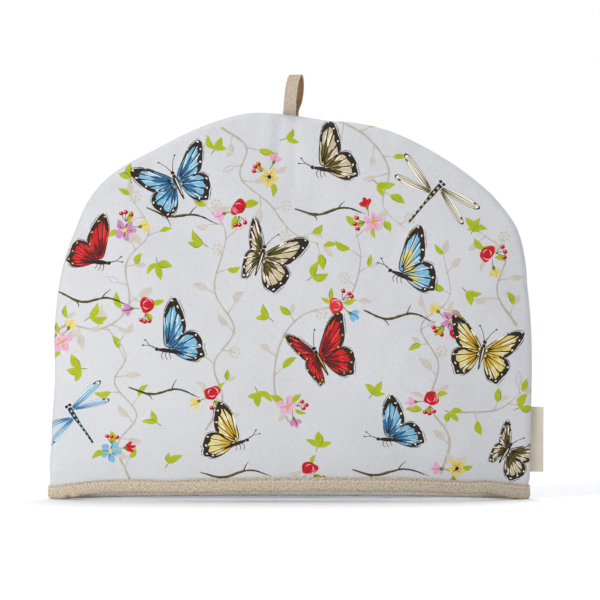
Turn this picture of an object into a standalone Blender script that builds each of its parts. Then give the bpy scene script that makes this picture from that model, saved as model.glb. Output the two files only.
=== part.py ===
"""Padded tea cosy with a printed cotton face, standing on its hem and slightly open.

Two arched padded panels meet in a turned seam over the top. A folded tape binds the hem, a tape
loop is caught in the seam at the crown, and a folded blank label in the seam at the right side.
Metres, +Z up, front towards -Y, origin on the resting surface under the middle of the object's box.
"""

import math
from collections import namedtuple

import bmesh
import bpy
from mathutils import Vector

MM = 0.001
GAP = 0.3 * MM  # free space between pieces that touch
HEM_GAP = 0.5 * MM  # the same between the padding and its binding

# Arched outline of the cosy from the middle of the hem, right end to left end. It isn't quite even.
Outline = namedtuple("Outline", "degrees radius")
ARCH = [
    Outline(0.0, 170.0 * MM),
    Outline(11.0, 173.4 * MM),
    Outline(22.0, 184.5 * MM),
    Outline(31.5, 200.9 * MM),
    Outline(41.0, 223.4 * MM),
    Outline(45.3, 237.0 * MM),
    Outline(49.6, 249.0 * MM),  # right shoulder
    Outline(53.3, 254.6 * MM),
    Outline(57.0, 258.5 * MM),
    Outline(65.0, 263.7 * MM),
    Outline(74.6, 269.0 * MM),
    Outline(80.8, 269.3 * MM),
    Outline(84.0, 268.1 * MM),  # dips beside the loop
    Outline(87.0, 269.3 * MM),
    Outline(91.4, 271.8 * MM),
    Outline(96.0, 273.6 * MM),  # crown
    Outline(100.4, 271.6 * MM),
    Outline(104.2, 269.0 * MM),
    Outline(110.5, 264.3 * MM),
    Outline(118.8, 260.8 * MM),
    Outline(123.8, 253.9 * MM),
    Outline(128.5, 242.4 * MM),  # left shoulder
    Outline(133.3, 231.2 * MM),
    Outline(142.6, 207.7 * MM),
    Outline(153.1, 185.4 * MM),
    Outline(166.1, 172.7 * MM),
    Outline(173.2, 170.6 * MM),
    Outline(180.0, 169.9 * MM),
]
HEM_END = 170.0 * MM

# The padded wall.
HALF_DEPTH = 55 * MM  # from the seam's plane to the face, at the middle of the hem
WALL = 7.5 * MM  # cotton, wadding and lining together
FACE_POWER = 2.2  # how evenly the face swells from the seam to the middle
LINING_POWER = 0.8  # the same for the inside, which turns in more sharply
NOSE_RADIUS = 5 * MM  # rounded padded edge of each panel along the seam
NOSE_MIDDLE = 3 * MM  # from the seam's plane to the middle of that rounding
NOSE_DEPTH = NOSE_MIDDLE + NOSE_RADIUS
SEAM_BAND = 8 * MM  # width over which the two panels are sewn flat together

# The hem: squeezed and drawn in by its binding. The back rests on the surface all along, and the
# front arches up between its two ends.
HEM_BOTTOM = 1.7 * MM  # of the padding, inside the binding
HEM_SQUEEZE = 0.30  # share of the wall's thickness
HEM_DRAWN_IN = 1.1 * MM
HEM_SQUEEZE_FADE = (10.5 * MM, 27 * MM)  # heights between which the squeeze ends
HEM_EDGES = (10.5 * MM, 15 * MM, 20 * MM, 27 * MM)  # heights where the faces are divided for it
HEM_LIFT_FADE = 90 * MM  # height at which the lift of the hem is no longer felt
HemLift = namedtuple("HemLift", "x lift")
FRONT_HEM = [
    HemLift(-152 * MM, 0.0 * MM),
    HemLift(-140 * MM, 2.3 * MM),
    HemLift(-126 * MM, 4.3 * MM),
    HemLift(-108 * MM, 5.4 * MM),
    HemLift(-70 * MM, 5.9 * MM),
    HemLift(-30 * MM, 7.4 * MM),
    HemLift(10 * MM, 7.8 * MM),
    HemLift(55 * MM, 7.5 * MM),
    HemLift(78 * MM, 6.7 * MM),
    HemLift(100 * MM, 5.0 * MM),
    HemLift(115 * MM, 4.2 * MM),
    HemLift(140 * MM, 3.2 * MM),
    HemLift(156 * MM, 0.5 * MM),
    HemLift(162 * MM, 0.0 * MM),
]

# Soft hollows in the padded faces, each a rounded trough.
Trough = namedtuple("Trough", "x z half_width half_height depth")
FRONT_TROUGHS = [
    Trough(-2 * MM, 252 * MM, 8 * MM, 26 * MM, 1.5 * MM),  # drawn in under the loop
    Trough(-140 * MM, 188 * MM, 14 * MM, 9 * MM, 1.3 * MM),  # pucker at the left shoulder
    Trough(-100 * MM, 236 * MM, 9 * MM, 13 * MM, 1.0 * MM),
    Trough(40 * MM, 70 * MM, 70 * MM, 34 * MM, 1.2 * MM),  # slack across the lower face
]
BACK_TROUGHS = [
    Trough(2 * MM, 250 * MM, 9 * MM, 30 * MM, 1.4 * MM),
    Trough(-60 * MM, 96 * MM, 60 * MM, 40 * MM, 1.3 * MM),
]

# Binding: a folded tape round the hem.
BINDING_THICKNESS = 1.2 * MM
BINDING_HEIGHT = 9.0 * MM
BINDING_HEIGHT_INSIDE = 8.2 * MM
BINDING_ROUND = 2.2 * MM  # of its two lower edges
BINDING_ROUND_OFF = 0.3 * BINDING_ROUND  # how far the middle of that rounding stands off the corner
BINDING_TURN = (0.75, 1.0)  # shares of the hem over which its inside turns to face the other side
LEAST_STATION = 0.05 * MM  # closer places along the hem count as one

# Hanging loop: a tape folded in half, its ends sewn into the crown of the seam.
LOOP_WIDTH = 9.2 * MM
LOOP_THICKNESS = 1.0 * MM
LOOP_TURN = math.radians(15)  # about the upright, from the feet to the free part
LOOP_TURN_HEIGHT = 8 * MM  # over which it turns, above the seam
LOOP_FOOT = 264.5 * MM
LOOP_SEAM = 272.5 * MM
LOOP_POCKET_ABOVE = 9 * MM  # how far the pocket for it is cut above the seam
LOOP_TOP = 299.0 * MM
LOOP_LEAN = 4.6 * MM  # to the right at its top
LOOP_X = 0.2 * MM
LoopPoint = namedtuple("LoopPoint", "out height")  # half way through the tape's thickness
LOOP_PATH = [
    LoopPoint(-0.62 * MM, 264.5 * MM),
    LoopPoint(-0.62 * MM, 268.5 * MM),
    LoopPoint(-0.62 * MM, 272.5 * MM),
    LoopPoint(-2.10 * MM, 275.3 * MM),
    LoopPoint(-4.60 * MM, 279.6 * MM),
    LoopPoint(-5.70 * MM, 285.0 * MM),
    LoopPoint(-5.40 * MM, 291.0 * MM),
    LoopPoint(-3.90 * MM, 295.6 * MM),
    LoopPoint(-1.90 * MM, 298.2 * MM),
    LoopPoint(0.10 * MM, 299.0 * MM),
    LoopPoint(2.10 * MM, 298.2 * MM),
    LoopPoint(4.30 * MM, 295.3 * MM),
    LoopPoint(6.20 * MM, 290.5 * MM),
    LoopPoint(6.50 * MM, 285.0 * MM),
    LoopPoint(5.30 * MM, 279.6 * MM),
    LoopPoint(2.60 * MM, 275.3 * MM),
    LoopPoint(0.62 * MM, 272.5 * MM),
    LoopPoint(0.62 * MM, 268.5 * MM),
    LoopPoint(0.62 * MM, 264.5 * MM),
]

# Side label: a short folded tape with nothing on it, sewn into the seam at the right.
LABEL_LOW = 19 * MM
LABEL_HIGH = 65 * MM
LABEL_ROOT = 163.5 * MM
LABEL_OUT = 171 * MM  # where it leaves the seam
LABEL_TIP = 179.7 * MM
LABEL_LAYER = 0.4 * MM
LABEL_HALF_FOLD = 0.45 * MM  # from the seam's plane to the middle of each layer
LABEL_FOLD_STEPS = 6

# How finely the curved pieces are divided.
STATIONS = 64  # along the arch
NOSE_STEPS = 5
FACE_RINGS = (0.96, 0.91, 0.85, 0.78, 0.71, 0.63, 0.55, 0.47, 0.38, 0.29, 0.20, 0.10, 0.0)
INNER_NOSE_SHARE = 0.03

FRONT, BACK = -1, 1
LEFT_END = 170.4 * MM  # from the middle of the hem to the far side of its binding
MIDDLE_X = -(LABEL_TIP - LEFT_END) / 2

COLOURS = {  # base colour and roughness
    "printed_cotton": ((0.80, 0.82, 0.86), 0.85),
    "binding_cotton": ((0.62, 0.52, 0.40), 0.85),
    "loop_tape": ((0.60, 0.50, 0.38), 0.80),
    "label_tape": ((0.85, 0.81, 0.74), 0.80),
}


def smooth_step(low, high, value):
    share = min(1.0, max(0.0, (value - low) / (high - low)))
    return share * share * (3 - 2 * share)


def curve_through(known, values, at):
    """Value at `at` on a smooth curve through the values at the known places, level at its ends."""
    if at <= known[0]:
        return values[0]
    if at >= known[-1]:
        return values[-1]
    k = max(i for i in range(len(known) - 1) if known[i] <= at)

    def slope(i):
        if i in (0, len(known) - 1):
            return 0.0
        return (values[i + 1] - values[i - 1]) / (known[i + 1] - known[i - 1])

    span = known[k + 1] - known[k]
    t = (at - known[k]) / span
    return (
        (2 * t**3 - 3 * t**2 + 1) * values[k]
        + (t**3 - 2 * t**2 + t) * span * slope(k)
        + (3 * t**2 - 2 * t**3) * values[k + 1]
        + (t**3 - t**2) * span * slope(k + 1)
    )


def arch_radius(angle):
    """Distance from the middle of the hem to the outline."""
    degrees = [row.degrees for row in ARCH]
    return curve_through(degrees, [row.radius for row in ARCH], math.degrees(angle))


def hem_lift(side, x):
    """How far the hem stands above the surface."""
    if side == BACK:
        return 0.0
    return curve_through([row.x for row in FRONT_HEM], [row.lift for row in FRONT_HEM], x)


def squeezed(side, x, depth, z):
    """A point of a panel as the hem leaves it: thinner, drawn in, and lifted to the hem's line."""
    fade = 1 - smooth_step(*HEM_SQUEEZE_FADE, z)
    angle = math.atan2(z, x)
    radius = arch_radius(angle)
    reach = min(math.hypot(x, z), radius)
    lining = lining_depth(min(1.0, reach / (radius - SEAM_BAND)))
    middle = (face_depth(reach, radius) + lining) / 2
    near_seam = min(1.0, depth / NOSE_DEPTH)
    depth += (middle - depth) * HEM_SQUEEZE * fade * near_seam
    x *= 1 - fade * HEM_DRAWN_IN / HEM_END
    follow = 1 - smooth_step(0, HEM_LIFT_FADE, z)
    return Vector((x, side * max(depth, GAP / 2), z + (HEM_BOTTOM + hem_lift(side, x)) * follow))


def trough_depth(troughs, x, z):
    return sum(
        row.depth
        * math.exp(-(((x - row.x) / row.half_width) ** 2) - ((z - row.z) / row.half_height) ** 2)
        for row in troughs
    )


def face_depth(reach, radius):
    """Depth of the outside at a distance from the middle, in front of the nose of the seam."""
    inset = radius - reach
    swell = (HALF_DEPTH - NOSE_DEPTH) * (1 - (reach / radius) ** FACE_POWER)
    if inset >= NOSE_RADIUS:
        return NOSE_DEPTH + swell
    return NOSE_MIDDLE + math.sqrt(NOSE_RADIUS**2 - (NOSE_RADIUS - inset) ** 2) + swell


def lining_depth(share):
    return (HALF_DEPTH - WALL) * (1 - share**FACE_POWER) ** LINING_POWER


def outer_profile(radius):
    """(distance from the middle, depth) along one section of the outside, from the seam inwards."""
    start = -math.asin(NOSE_MIDDLE / NOSE_RADIUS)
    points = []
    for step in range(NOSE_STEPS + 1):
        turn = start + (math.pi / 2 - start) * step / NOSE_STEPS
        reach = radius - NOSE_RADIUS * (1 - math.cos(turn))
        if turn > 0:
            points.append((reach, face_depth(reach, radius)))
        else:
            points.append((reach, NOSE_MIDDLE + NOSE_RADIUS * math.sin(turn)))
    for share in FACE_RINGS:
        reach = (radius - NOSE_RADIUS) * share
        points.append((reach, face_depth(reach, radius)))
    return points


def inner_profile(radius):
    """The same for the lining, point for point."""
    shares = [1 - INNER_NOSE_SHARE * (step / NOSE_STEPS) ** 1.5 for step in range(NOSE_STEPS + 1)]
    return [
        ((radius - SEAM_BAND) * share, lining_depth(share)) for share in shares + list(FACE_RINGS)
    ]


def panel_rows(troughs):
    """Rows of points (x, depth, z) over the outside from its middle to the seam, then back inside."""
    columns = []
    for step in range(STATIONS + 1):
        angle = math.pi * step / STATIONS
        radius = arch_radius(angle)
        column = []
        for reach, depth in list(reversed(outer_profile(radius))) + inner_profile(radius):
            x, z = reach * math.cos(angle), reach * math.sin(angle)
            hollow = trough_depth(troughs, x, z) * min(1.0, depth / NOSE_DEPTH)
            column.append(Vector((x, max(depth - hollow, GAP / 2), z)))
        columns.append(column)
    return [list(row) for row in zip(*columns)]


def loft(rows, closed_round=False):
    """A bmesh with faces between each row of points and the next, and its vertices by row."""
    bm = bmesh.new()
    verts = [[bm.verts.new(point) for point in row] for row in rows]
    for row, following in zip(verts, verts[1:]):
        count = len(row) if closed_round else len(row) - 1
        for i in range(count):
            j = (i + 1) % len(row)
            bm.faces.new((row[i], row[j], following[j], following[i]))
    return bm, verts


def finished(bm, name, material, collection):
    """The named object of a closed bmesh, with its faces pointing out and shaded smooth."""
    bmesh.ops.remove_doubles(bm, verts=bm.verts, dist=1e-6)
    bmesh.ops.recalc_face_normals(bm, faces=bm.faces)
    mesh = bpy.data.meshes.new(name)
    bm.to_mesh(mesh)
    bm.free()
    mesh.shade_smooth()
    mesh.set_sharp_from_angle(angle=math.radians(40))
    mesh.materials.append(material)
    piece = bpy.data.objects.new(name, mesh)
    collection.objects.link(piece)
    return piece


def make_panel(name, side, troughs, material, collection):
    bm, verts = loft(panel_rows(troughs))
    last = len(verts) - 1
    for ring in range(len(verts) // 2 - 1):
        for end in (0, STATIONS):
            bm.faces.new(
                (
                    verts[ring][end],
                    verts[ring + 1][end],
                    verts[last - ring - 1][end],
                    verts[last - ring][end],
                )
            )
    for height in HEM_EDGES:
        bmesh.ops.bisect_plane(
            bm,
            geom=bm.verts[:] + bm.edges[:] + bm.faces[:],
            plane_co=(0, 0, height),
            plane_no=(0, 0, 1),
        )
    for vert in bm.verts:
        vert.co = squeezed(side, *vert.co)
    return finished(bm, name, material, collection)


def hem_stations():
    """Places round the hem, each a point outside and one on the lining at the same station."""
    radius = {0: arch_radius(0), math.pi: arch_radius(math.pi)}
    stations = []
    for side, first, second in ((FRONT, math.pi, 0), (BACK, 0, math.pi)):
        for angle, order in ((first, 1), (second, -1)):
            pairs = list(zip(outer_profile(radius[angle]), inner_profile(radius[angle])))
            pairs = pairs[:-1] if order == 1 else pairs[::-1]
            for outer, inner in pairs:
                points = [
                    squeezed(side, reach * math.cos(angle), max(depth, GAP / 2), 0)
                    for reach, depth in (outer, inner)
                ]
                stations.append((side, *(Vector((point.x, point.y)) for point in points)))
    return stations


def outward_ways(points):
    """For each point of a closed line in plan, the way across it that keeps an offset even."""
    ways = []
    for before, here, after in zip(points[-1:] + points[:-1], points, points[1:] + points[:1]):
        first, second = (here - before).normalized(), (after - here).normalized()
        first, second = Vector((first.y, -first.x)), Vector((second.y, -second.x))
        middle = (first + second).normalized()
        ways.append(middle / max(0.5, middle.dot(first)))
    return ways


def make_binding(name, material, collection):
    """A channel of folded tape swept round the hem, flat underneath where it rests."""
    full = HEM_GAP + BINDING_THICKNESS
    stations = hem_stations()
    stations = [
        station
        for station, before in zip(stations, stations[-1:] + stations[:-1])
        if (station[1] - before[1]).length > LEAST_STATION
    ]
    outward = outward_ways([outside for _, outside, _ in stations])
    rows = []
    for (side, outside, lining), way in zip(stations, outward):
        room = 1 - smooth_step(*BINDING_TURN, abs(lining.x) / (HEM_END - SEAM_BAND))
        inward = Vector((-math.copysign(1 - room, lining.x), -side * room)).normalized()
        plan = [
            (outside + way * full, BINDING_HEIGHT),
            (outside + way * full, BINDING_ROUND),
            (outside + way * (full - BINDING_ROUND_OFF), BINDING_ROUND_OFF),
            (outside + way * (full - BINDING_ROUND), 0.0),
            (lining + inward * (full - BINDING_ROUND), 0.0),
            (lining + inward * (full - BINDING_ROUND_OFF), BINDING_ROUND_OFF),
            (lining + inward * full, BINDING_ROUND),
            (lining + inward * full, BINDING_HEIGHT_INSIDE),
            (lining + inward * HEM_GAP, BINDING_HEIGHT_INSIDE),
            (lining + inward * HEM_GAP, BINDING_THICKNESS),
            (outside + way * HEM_GAP, BINDING_THICKNESS),
            (outside + way * HEM_GAP, BINDING_HEIGHT),
        ]
        rows.append(
            [
                Vector((point.x, point.y, height + hem_lift(side, point.x)))
                for point, height in plan
            ]
        )
    bm, _ = loft(rows + rows[:1], closed_round=True)
    return finished(bm, name, material, collection)


def make_ribbon(name, path, place, width, thickness, material, collection):
    """A tape that follows `path`, its width laid out by place(point, across)."""
    bm, _ = loft([[place(point, -width / 2), place(point, width / 2)] for point in path])
    ribbon = finished(bm, name, material, collection)
    skin = ribbon.modifiers.new("Tape thickness", "SOLIDIFY")
    skin.thickness = thickness
    skin.offset = 0
    skin.use_even_offset = True
    return ribbon


def make_loop(name, material, collection):
    def place(point, across):
        share = smooth_step(LOOP_SEAM, LOOP_SEAM + LOOP_TURN_HEIGHT, point.height)
        turn = LOOP_TURN * share
        lean = LOOP_LEAN * (max(0.0, point.height - LOOP_SEAM) / (LOOP_TOP - LOOP_SEAM))
        return Vector(
            (
                LOOP_X + lean + across * math.cos(turn) + point.out * math.sin(turn),
                point.out * math.cos(turn) - across * math.sin(turn),
                point.height,
            )
        )

    return make_ribbon(name, LOOP_PATH, place, LOOP_WIDTH, LOOP_THICKNESS, material, collection)


def make_label(name, material, collection):
    fold = LABEL_TIP - LABEL_LAYER / 2 - LABEL_HALF_FOLD
    path = [Vector((LABEL_ROOT, -LABEL_HALF_FOLD, 0)), Vector((LABEL_OUT, -LABEL_HALF_FOLD, 0))]
    for step in range(LABEL_FOLD_STEPS + 1):
        turn = math.pi * (step / LABEL_FOLD_STEPS - 0.5)
        path.append(
            Vector((fold + LABEL_HALF_FOLD * math.cos(turn), LABEL_HALF_FOLD * math.sin(turn), 0))
        )
    path += [Vector((LABEL_OUT, LABEL_HALF_FOLD, 0)), Vector((LABEL_ROOT, LABEL_HALF_FOLD, 0))]
    middle = (LABEL_LOW + LABEL_HIGH) / 2

    def place(point, across):
        return point + Vector((0, 0, middle + across))

    height = LABEL_HIGH - LABEL_LOW
    return make_ribbon(name, path, place, height, LABEL_LAYER, material, collection)


def box_cutter(name, low, high, collection):
    """A helper box between two corners, for the pocket that a sewn-in piece sits in."""
    bm = bmesh.new()
    bmesh.ops.create_cube(bm, size=1.0)
    size, middle = Vector(high) - Vector(low), (Vector(high) + Vector(low)) / 2
    for vert in bm.verts:
        vert.co = Vector(vert.co[k] * size[k] + middle[k] for k in range(3))
    mesh = bpy.data.meshes.new(name)
    bm.to_mesh(mesh)
    bm.free()
    cutter = bpy.data.objects.new(name, mesh)
    cutter.hide_render = True
    cutter.display_type = "WIRE"
    collection.objects.link(cutter)
    return cutter


def cut(piece, cutter):
    pocket = piece.modifiers.new(cutter.name, "BOOLEAN")
    pocket.operation = "DIFFERENCE"
    pocket.object = cutter


def make_material(name):
    colour, roughness = COLOURS[name]
    material = bpy.data.materials.new(name)
    material.use_nodes = True
    shader = material.node_tree.nodes["Principled BSDF"]
    shader.inputs["Base Color"].default_value = (*colour, 1)
    shader.inputs["Roughness"].default_value = roughness
    shader.inputs["Metallic"].default_value = 0
    return material


def new_collection(name):
    collection = bpy.data.collections.new(name)
    bpy.context.scene.collection.children.link(collection)
    return collection


def main():
    for old in list(bpy.data.objects):
        bpy.data.objects.remove(old, do_unlink=True)
    pieces = new_collection("tea_cosy")
    cutters = new_collection("seam_pockets")
    cotton, binding, tape, label = (make_material(name) for name in COLOURS)

    front = make_panel("front_panel", FRONT, FRONT_TROUGHS, cotton, pieces)
    back = make_panel("back_panel", BACK, BACK_TROUGHS, cotton, pieces)
    parts = [
        front,
        back,
        make_binding("hem_binding", binding, pieces),
        make_loop("hanging_loop", tape, pieces),
        make_label("side_label", label, pieces),
    ]

    loop_half = LOOP_WIDTH / 2 + GAP
    loop_deep = -LOOP_PATH[0].out + LOOP_THICKNESS / 2 + GAP
    loop_pocket = box_cutter(
        "loop_pocket",
        (LOOP_X - loop_half, -loop_deep, LOOP_FOOT - GAP),
        (LOOP_X + loop_half, loop_deep, LOOP_SEAM + LOOP_POCKET_ABOVE),
        cutters,
    )
    label_deep = LABEL_HALF_FOLD + LABEL_LAYER / 2 + GAP
    label_pocket = box_cutter(
        "label_pocket",
        (LABEL_ROOT - GAP, -label_deep, LABEL_LOW - GAP),
        (LABEL_TIP, label_deep, LABEL_HIGH + GAP),
        cutters,
    )
    for panel in (front, back):
        cut(panel, loop_pocket)
        cut(panel, label_pocket)

    stand = bpy.data.objects.new("cosy_middle", None)
    stand.location.x = MIDDLE_X
    pieces.objects.link(stand)
    for piece in parts + [loop_pocket, label_pocket]:
        piece.parent = stand
    bpy.context.view_layer.update()


main()
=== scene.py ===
"""Looks of a padded tea cosy: printed panels, bound hem, tape loop and blank side label.

The cloth's shape comes from the same named sizes as the CAD, and a few finer ones. The print is drawn
here as flat inked shapes on the panel's cutting pattern, and becomes part of the panel's own mesh.
Metres, +Z up, front towards -Y.
"""

import math
import random
from collections import namedtuple

import bmesh
import bpy
import numpy as np
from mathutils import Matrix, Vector
from mathutils.geometry import delaunay_2d_cdt


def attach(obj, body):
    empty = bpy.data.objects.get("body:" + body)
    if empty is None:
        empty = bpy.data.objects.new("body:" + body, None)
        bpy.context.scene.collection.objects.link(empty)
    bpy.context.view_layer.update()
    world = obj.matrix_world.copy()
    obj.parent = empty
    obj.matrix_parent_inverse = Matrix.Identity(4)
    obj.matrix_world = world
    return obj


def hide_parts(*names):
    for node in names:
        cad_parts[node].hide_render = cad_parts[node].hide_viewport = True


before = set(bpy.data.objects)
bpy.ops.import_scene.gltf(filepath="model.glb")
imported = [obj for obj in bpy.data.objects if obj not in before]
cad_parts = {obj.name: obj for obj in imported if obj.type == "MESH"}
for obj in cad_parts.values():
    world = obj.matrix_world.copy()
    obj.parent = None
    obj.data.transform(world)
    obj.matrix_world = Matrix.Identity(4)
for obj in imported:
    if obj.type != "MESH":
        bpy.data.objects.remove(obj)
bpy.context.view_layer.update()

MM = 0.001


def named(columns, rows):
    """Rows with named columns."""
    kind = namedtuple("Row", columns)
    return [kind(*row) for row in rows]


def sized(columns, rows, unitless=()):
    """Rows with named columns, whose lengths are given in millimetres."""
    return [
        row._replace(**{key: getattr(row, key) * MM for key in row._fields if key not in unitless})
        for row in named(columns, rows)
    ]


def mirrored(half):
    """The rows of one half, whose first column is a place, after their mirror image."""
    return [(-place, *others) for place, *others in reversed(half)] + half


# ---------------------------------------------------------------- sizes shared with the CAD

FRONT, BACK = -1, 1
ARCH = sized("degrees radius", [
    (0.0, 170.0),
    (11.0, 173.4),
    (22.0, 184.5),
    (31.5, 200.9),
    (41.0, 223.4),
    (45.3, 237.0),
    (49.6, 249.0),  # right shoulder
    (53.3, 254.6),
    (57.0, 258.5),
    (65.0, 263.7),
    (74.6, 269.0),
    (80.8, 269.3),
    (84.0, 268.1),  # dips beside the loop
    (87.0, 269.3),
    (91.4, 271.8),
    (96.0, 273.6),  # crown
    (100.4, 271.6),
    (104.2, 269.0),
    (110.5, 264.3),
    (118.8, 260.8),
    (123.8, 253.9),
    (128.5, 242.4),  # left shoulder
    (133.3, 231.2),
    (142.6, 207.7),
    (153.1, 185.4),
    (166.1, 172.7),
    (173.2, 170.6),
    (180.0, 169.9),
], unitless=["degrees"])
HEM_END = 170.0 * MM
HALF_DEPTH = 55 * MM
WALL = 7.5 * MM
FACE_POWER = 2.2
LINING_POWER = 0.8
NOSE_RADIUS = 5 * MM
NOSE_MIDDLE = 3 * MM
NOSE_DEPTH = NOSE_MIDDLE + NOSE_RADIUS
SEAM_BAND = 8 * MM
GAP = 0.3 * MM
HEM_GAP = 0.5 * MM
HEM_BOTTOM = 1.7 * MM
HEM_SQUEEZE = 0.30
HEM_SQUEEZE_FADE = (10.5 * MM, 27 * MM)
HEM_DRAWN_IN = 1.1 * MM
HEM_LIFT_FADE = 90 * MM
BINDING_HEIGHT = 9.0 * MM

TROUGH_COLUMNS = "x z half_width half_height depth"
TROUGHS = {
    FRONT: sized(TROUGH_COLUMNS, [
        (-2, 252, 8, 26, 1.5),  # drawn in under the loop
        (-140, 188, 14, 9, 1.3),
        (-100, 236, 9, 13, 1.0),
        (40, 70, 70, 34, 1.2),
    ]),
    BACK: sized(TROUGH_COLUMNS, [
        (2, 250, 9, 30, 1.4),
        (-60, 96, 60, 40, 1.3),
    ]),
}

LOOP_WIDTH = 9.2 * MM
LOOP_THICKNESS = 1.0 * MM
LOOP_TURN_HEIGHT = 8 * MM  # over which it turns, above the seam
LOOP_SEAM = 272.5 * MM
LOOP_TOP = 299.0 * MM
LOOP_LEAN = 4.6 * MM
LOOP_X = 0.2 * MM

LABEL_LOW = 19 * MM
LABEL_HIGH = 65 * MM
LABEL_ROOT = 163.5 * MM
LABEL_OUT = 171 * MM  # where it leaves the seam
LABEL_TIP = 179.7 * MM
LABEL_LAYER = 0.4 * MM
LABEL_HALF_FOLD = 0.45 * MM
LEFT_END = 170.4 * MM
MIDDLE_X = -(LABEL_TIP - LEFT_END) / 2

# ---------------------------------------------------------------- sizes of the looks alone

# The front hem's line, which is higher near its corners than the solid's.
FRONT_HEM = sized("x lift", [
    (-164, 0.0),
    (-152, 1.5),
    (-146, 3.0),
    (-140, 4.0),
    (-126, 5.4),
    (-108, 5.8),
    (-70, 5.9),
    (-30, 7.1),
    (10, 7.4),
    (55, 7.2),
    (78, 6.7),
    (100, 5.9),
    (115, 4.8),
    (128, 4.5),
    (138, 4.6),
    (149, 2.8),
    (156, 1.3),
    (165, 0.0),
])
HEM_DRAWN_IN_FADE = (8.5 * MM, 13.5 * MM)  # at the right, so that it ends inside the binding
# The loop's path, slimmer from front to back than the solid's, and its turn, a little larger.
LOOP_PATH = sized("out height", [
    (-0.62, 264.5),
    (-0.62, 268.5),
    (-0.62, 272.5),
    (-1.25, 275.3),
    (-2.30, 279.6),
    (-3.60, 285.0),
    (-4.50, 290.6),
    (-3.90, 295.4),
    (-2.00, 298.2),
    (0.10, 299.0),
    (2.20, 298.2),
    (4.30, 295.2),
    (5.50, 290.5),
    (5.60, 285.0),
    (4.50, 279.6),
    (2.50, 275.3),
    (0.62, 272.5),
    (0.62, 268.5),
    (0.62, 264.5),
])
LOOP_TURN = math.radians(18.5)
LOOP_ASIDE = 1.9 * MM  # how far its back end is sewn in beside its front end
LOOP_REACH = 20 * MM  # how far down the seam makes room for the loop
SEAM_EASE = 3 * MM
LABEL_EASE = 2 * MM

# ---------------------------------------------------------------- the cloth's shape


def smooth_step(low, high, value):
    share = np.clip((value - low) / (high - low), 0.0, 1.0)
    return share * share * (3 - 2 * share)


def curve_through(known, values, at):
    """Values at `at` on a smooth curve through the values at the known places, level at its ends."""
    known, values = np.array(known), np.array(values)
    at = np.clip(at, known[0], known[-1])
    k = np.clip(np.searchsorted(known, at, side="right") - 1, 0, len(known) - 2)
    slope = np.zeros(len(known))
    slope[1:-1] = (values[2:] - values[:-2]) / (known[2:] - known[:-2])
    span = known[k + 1] - known[k]
    t = (at - known[k]) / span
    return (
        (2 * t**3 - 3 * t**2 + 1) * values[k]
        + (t**3 - 2 * t**2 + t) * span * slope[k]
        + (3 * t**2 - 2 * t**3) * values[k + 1]
        + (t**3 - t**2) * span * slope[k + 1]
    )


def arch_radius(angle):
    """Distance from the middle of the hem to the outline."""
    degrees = [row.degrees for row in ARCH]
    return curve_through(degrees, [row.radius for row in ARCH], np.degrees(angle))


def hem_lift(side, x):
    """How far the hem stands above the surface."""
    if side == BACK:
        return np.zeros_like(x)
    return curve_through([row.x for row in FRONT_HEM], [row.lift for row in FRONT_HEM], x)


WAVE_COUNT = 8
WAVE_SPREAD = (0.65, 1.35)


def waves(x, z, length, seed):
    """A smooth uneven field, mostly between -1 and 1, with swells about `length` across."""
    rng = np.random.default_rng(seed)
    total = 0.0
    for _ in range(WAVE_COUNT):
        way, phase = rng.uniform(0, 2 * math.pi, 2)
        size = 2 * math.pi / length * rng.uniform(*WAVE_SPREAD)
        total = total + np.cos(size * (x * math.cos(way) + z * math.sin(way)) + phase)
    return total / (WAVE_COUNT / 2)


def swell(kind, x, z=0.0, seed=0):
    """One kind of unevenness, at places along it and across it."""
    return kind.height * waves(x, z, kind.length, seed + kind.seed)


def hill(value, middle, half_width):
    """A smooth rise to one at the middle."""
    return np.exp(-(((value - middle) / half_width) ** 2))


def trough_depth(side, x, z):
    return sum(
        row.depth * hill(x, row.x, row.half_width) * hill(z, row.z, row.half_height)
        for row in TROUGHS[side]
    )


def face_depth(reach, radius):
    """Depth of the outside at a distance from the middle, in front of the nose of the seam."""
    inset = np.maximum(radius - reach, 0.0)
    bulge = (HALF_DEPTH - NOSE_DEPTH) * (1 - (reach / radius) ** FACE_POWER)
    nose = np.sqrt(NOSE_RADIUS**2 - (NOSE_RADIUS - np.minimum(inset, NOSE_RADIUS)) ** 2)
    return NOSE_MIDDLE + nose + bulge


def lining_depth(share):
    return (HALF_DEPTH - WALL) * np.maximum(1 - share**FACE_POWER, 0.0) ** LINING_POWER


def window(low, high, soft, value):
    """One between low and high, falling to zero over `soft` on both sides."""
    return smooth_step(low - soft, low, value) * (1 - smooth_step(high, high + soft, value))


def room_in_seam(x, z):
    """Half the opening of the seam, which is wider where the loop and the label are sewn in."""
    loop_half = LOOP_WIDTH / 2 + GAP
    loop = window(LOOP_X - loop_half, LOOP_X + loop_half + LOOP_ASIDE, SEAM_EASE, x)
    loop = loop * (z > LOOP_SEAM - LOOP_REACH)
    label = window(LABEL_LOW - GAP, LABEL_HIGH + GAP, LABEL_EASE, z)
    label = label * smooth_step(LABEL_ROOT - SEAM_EASE, LABEL_ROOT - GAP, x)
    loop_deep = -LOOP_PATH[0].out + LOOP_THICKNESS / 2 + GAP
    label_deep = LABEL_HALF_FOLD + LABEL_LAYER / 2 + GAP
    return GAP / 2 + (loop_deep - GAP / 2) * loop + (label_deep - GAP / 2) * label


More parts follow.
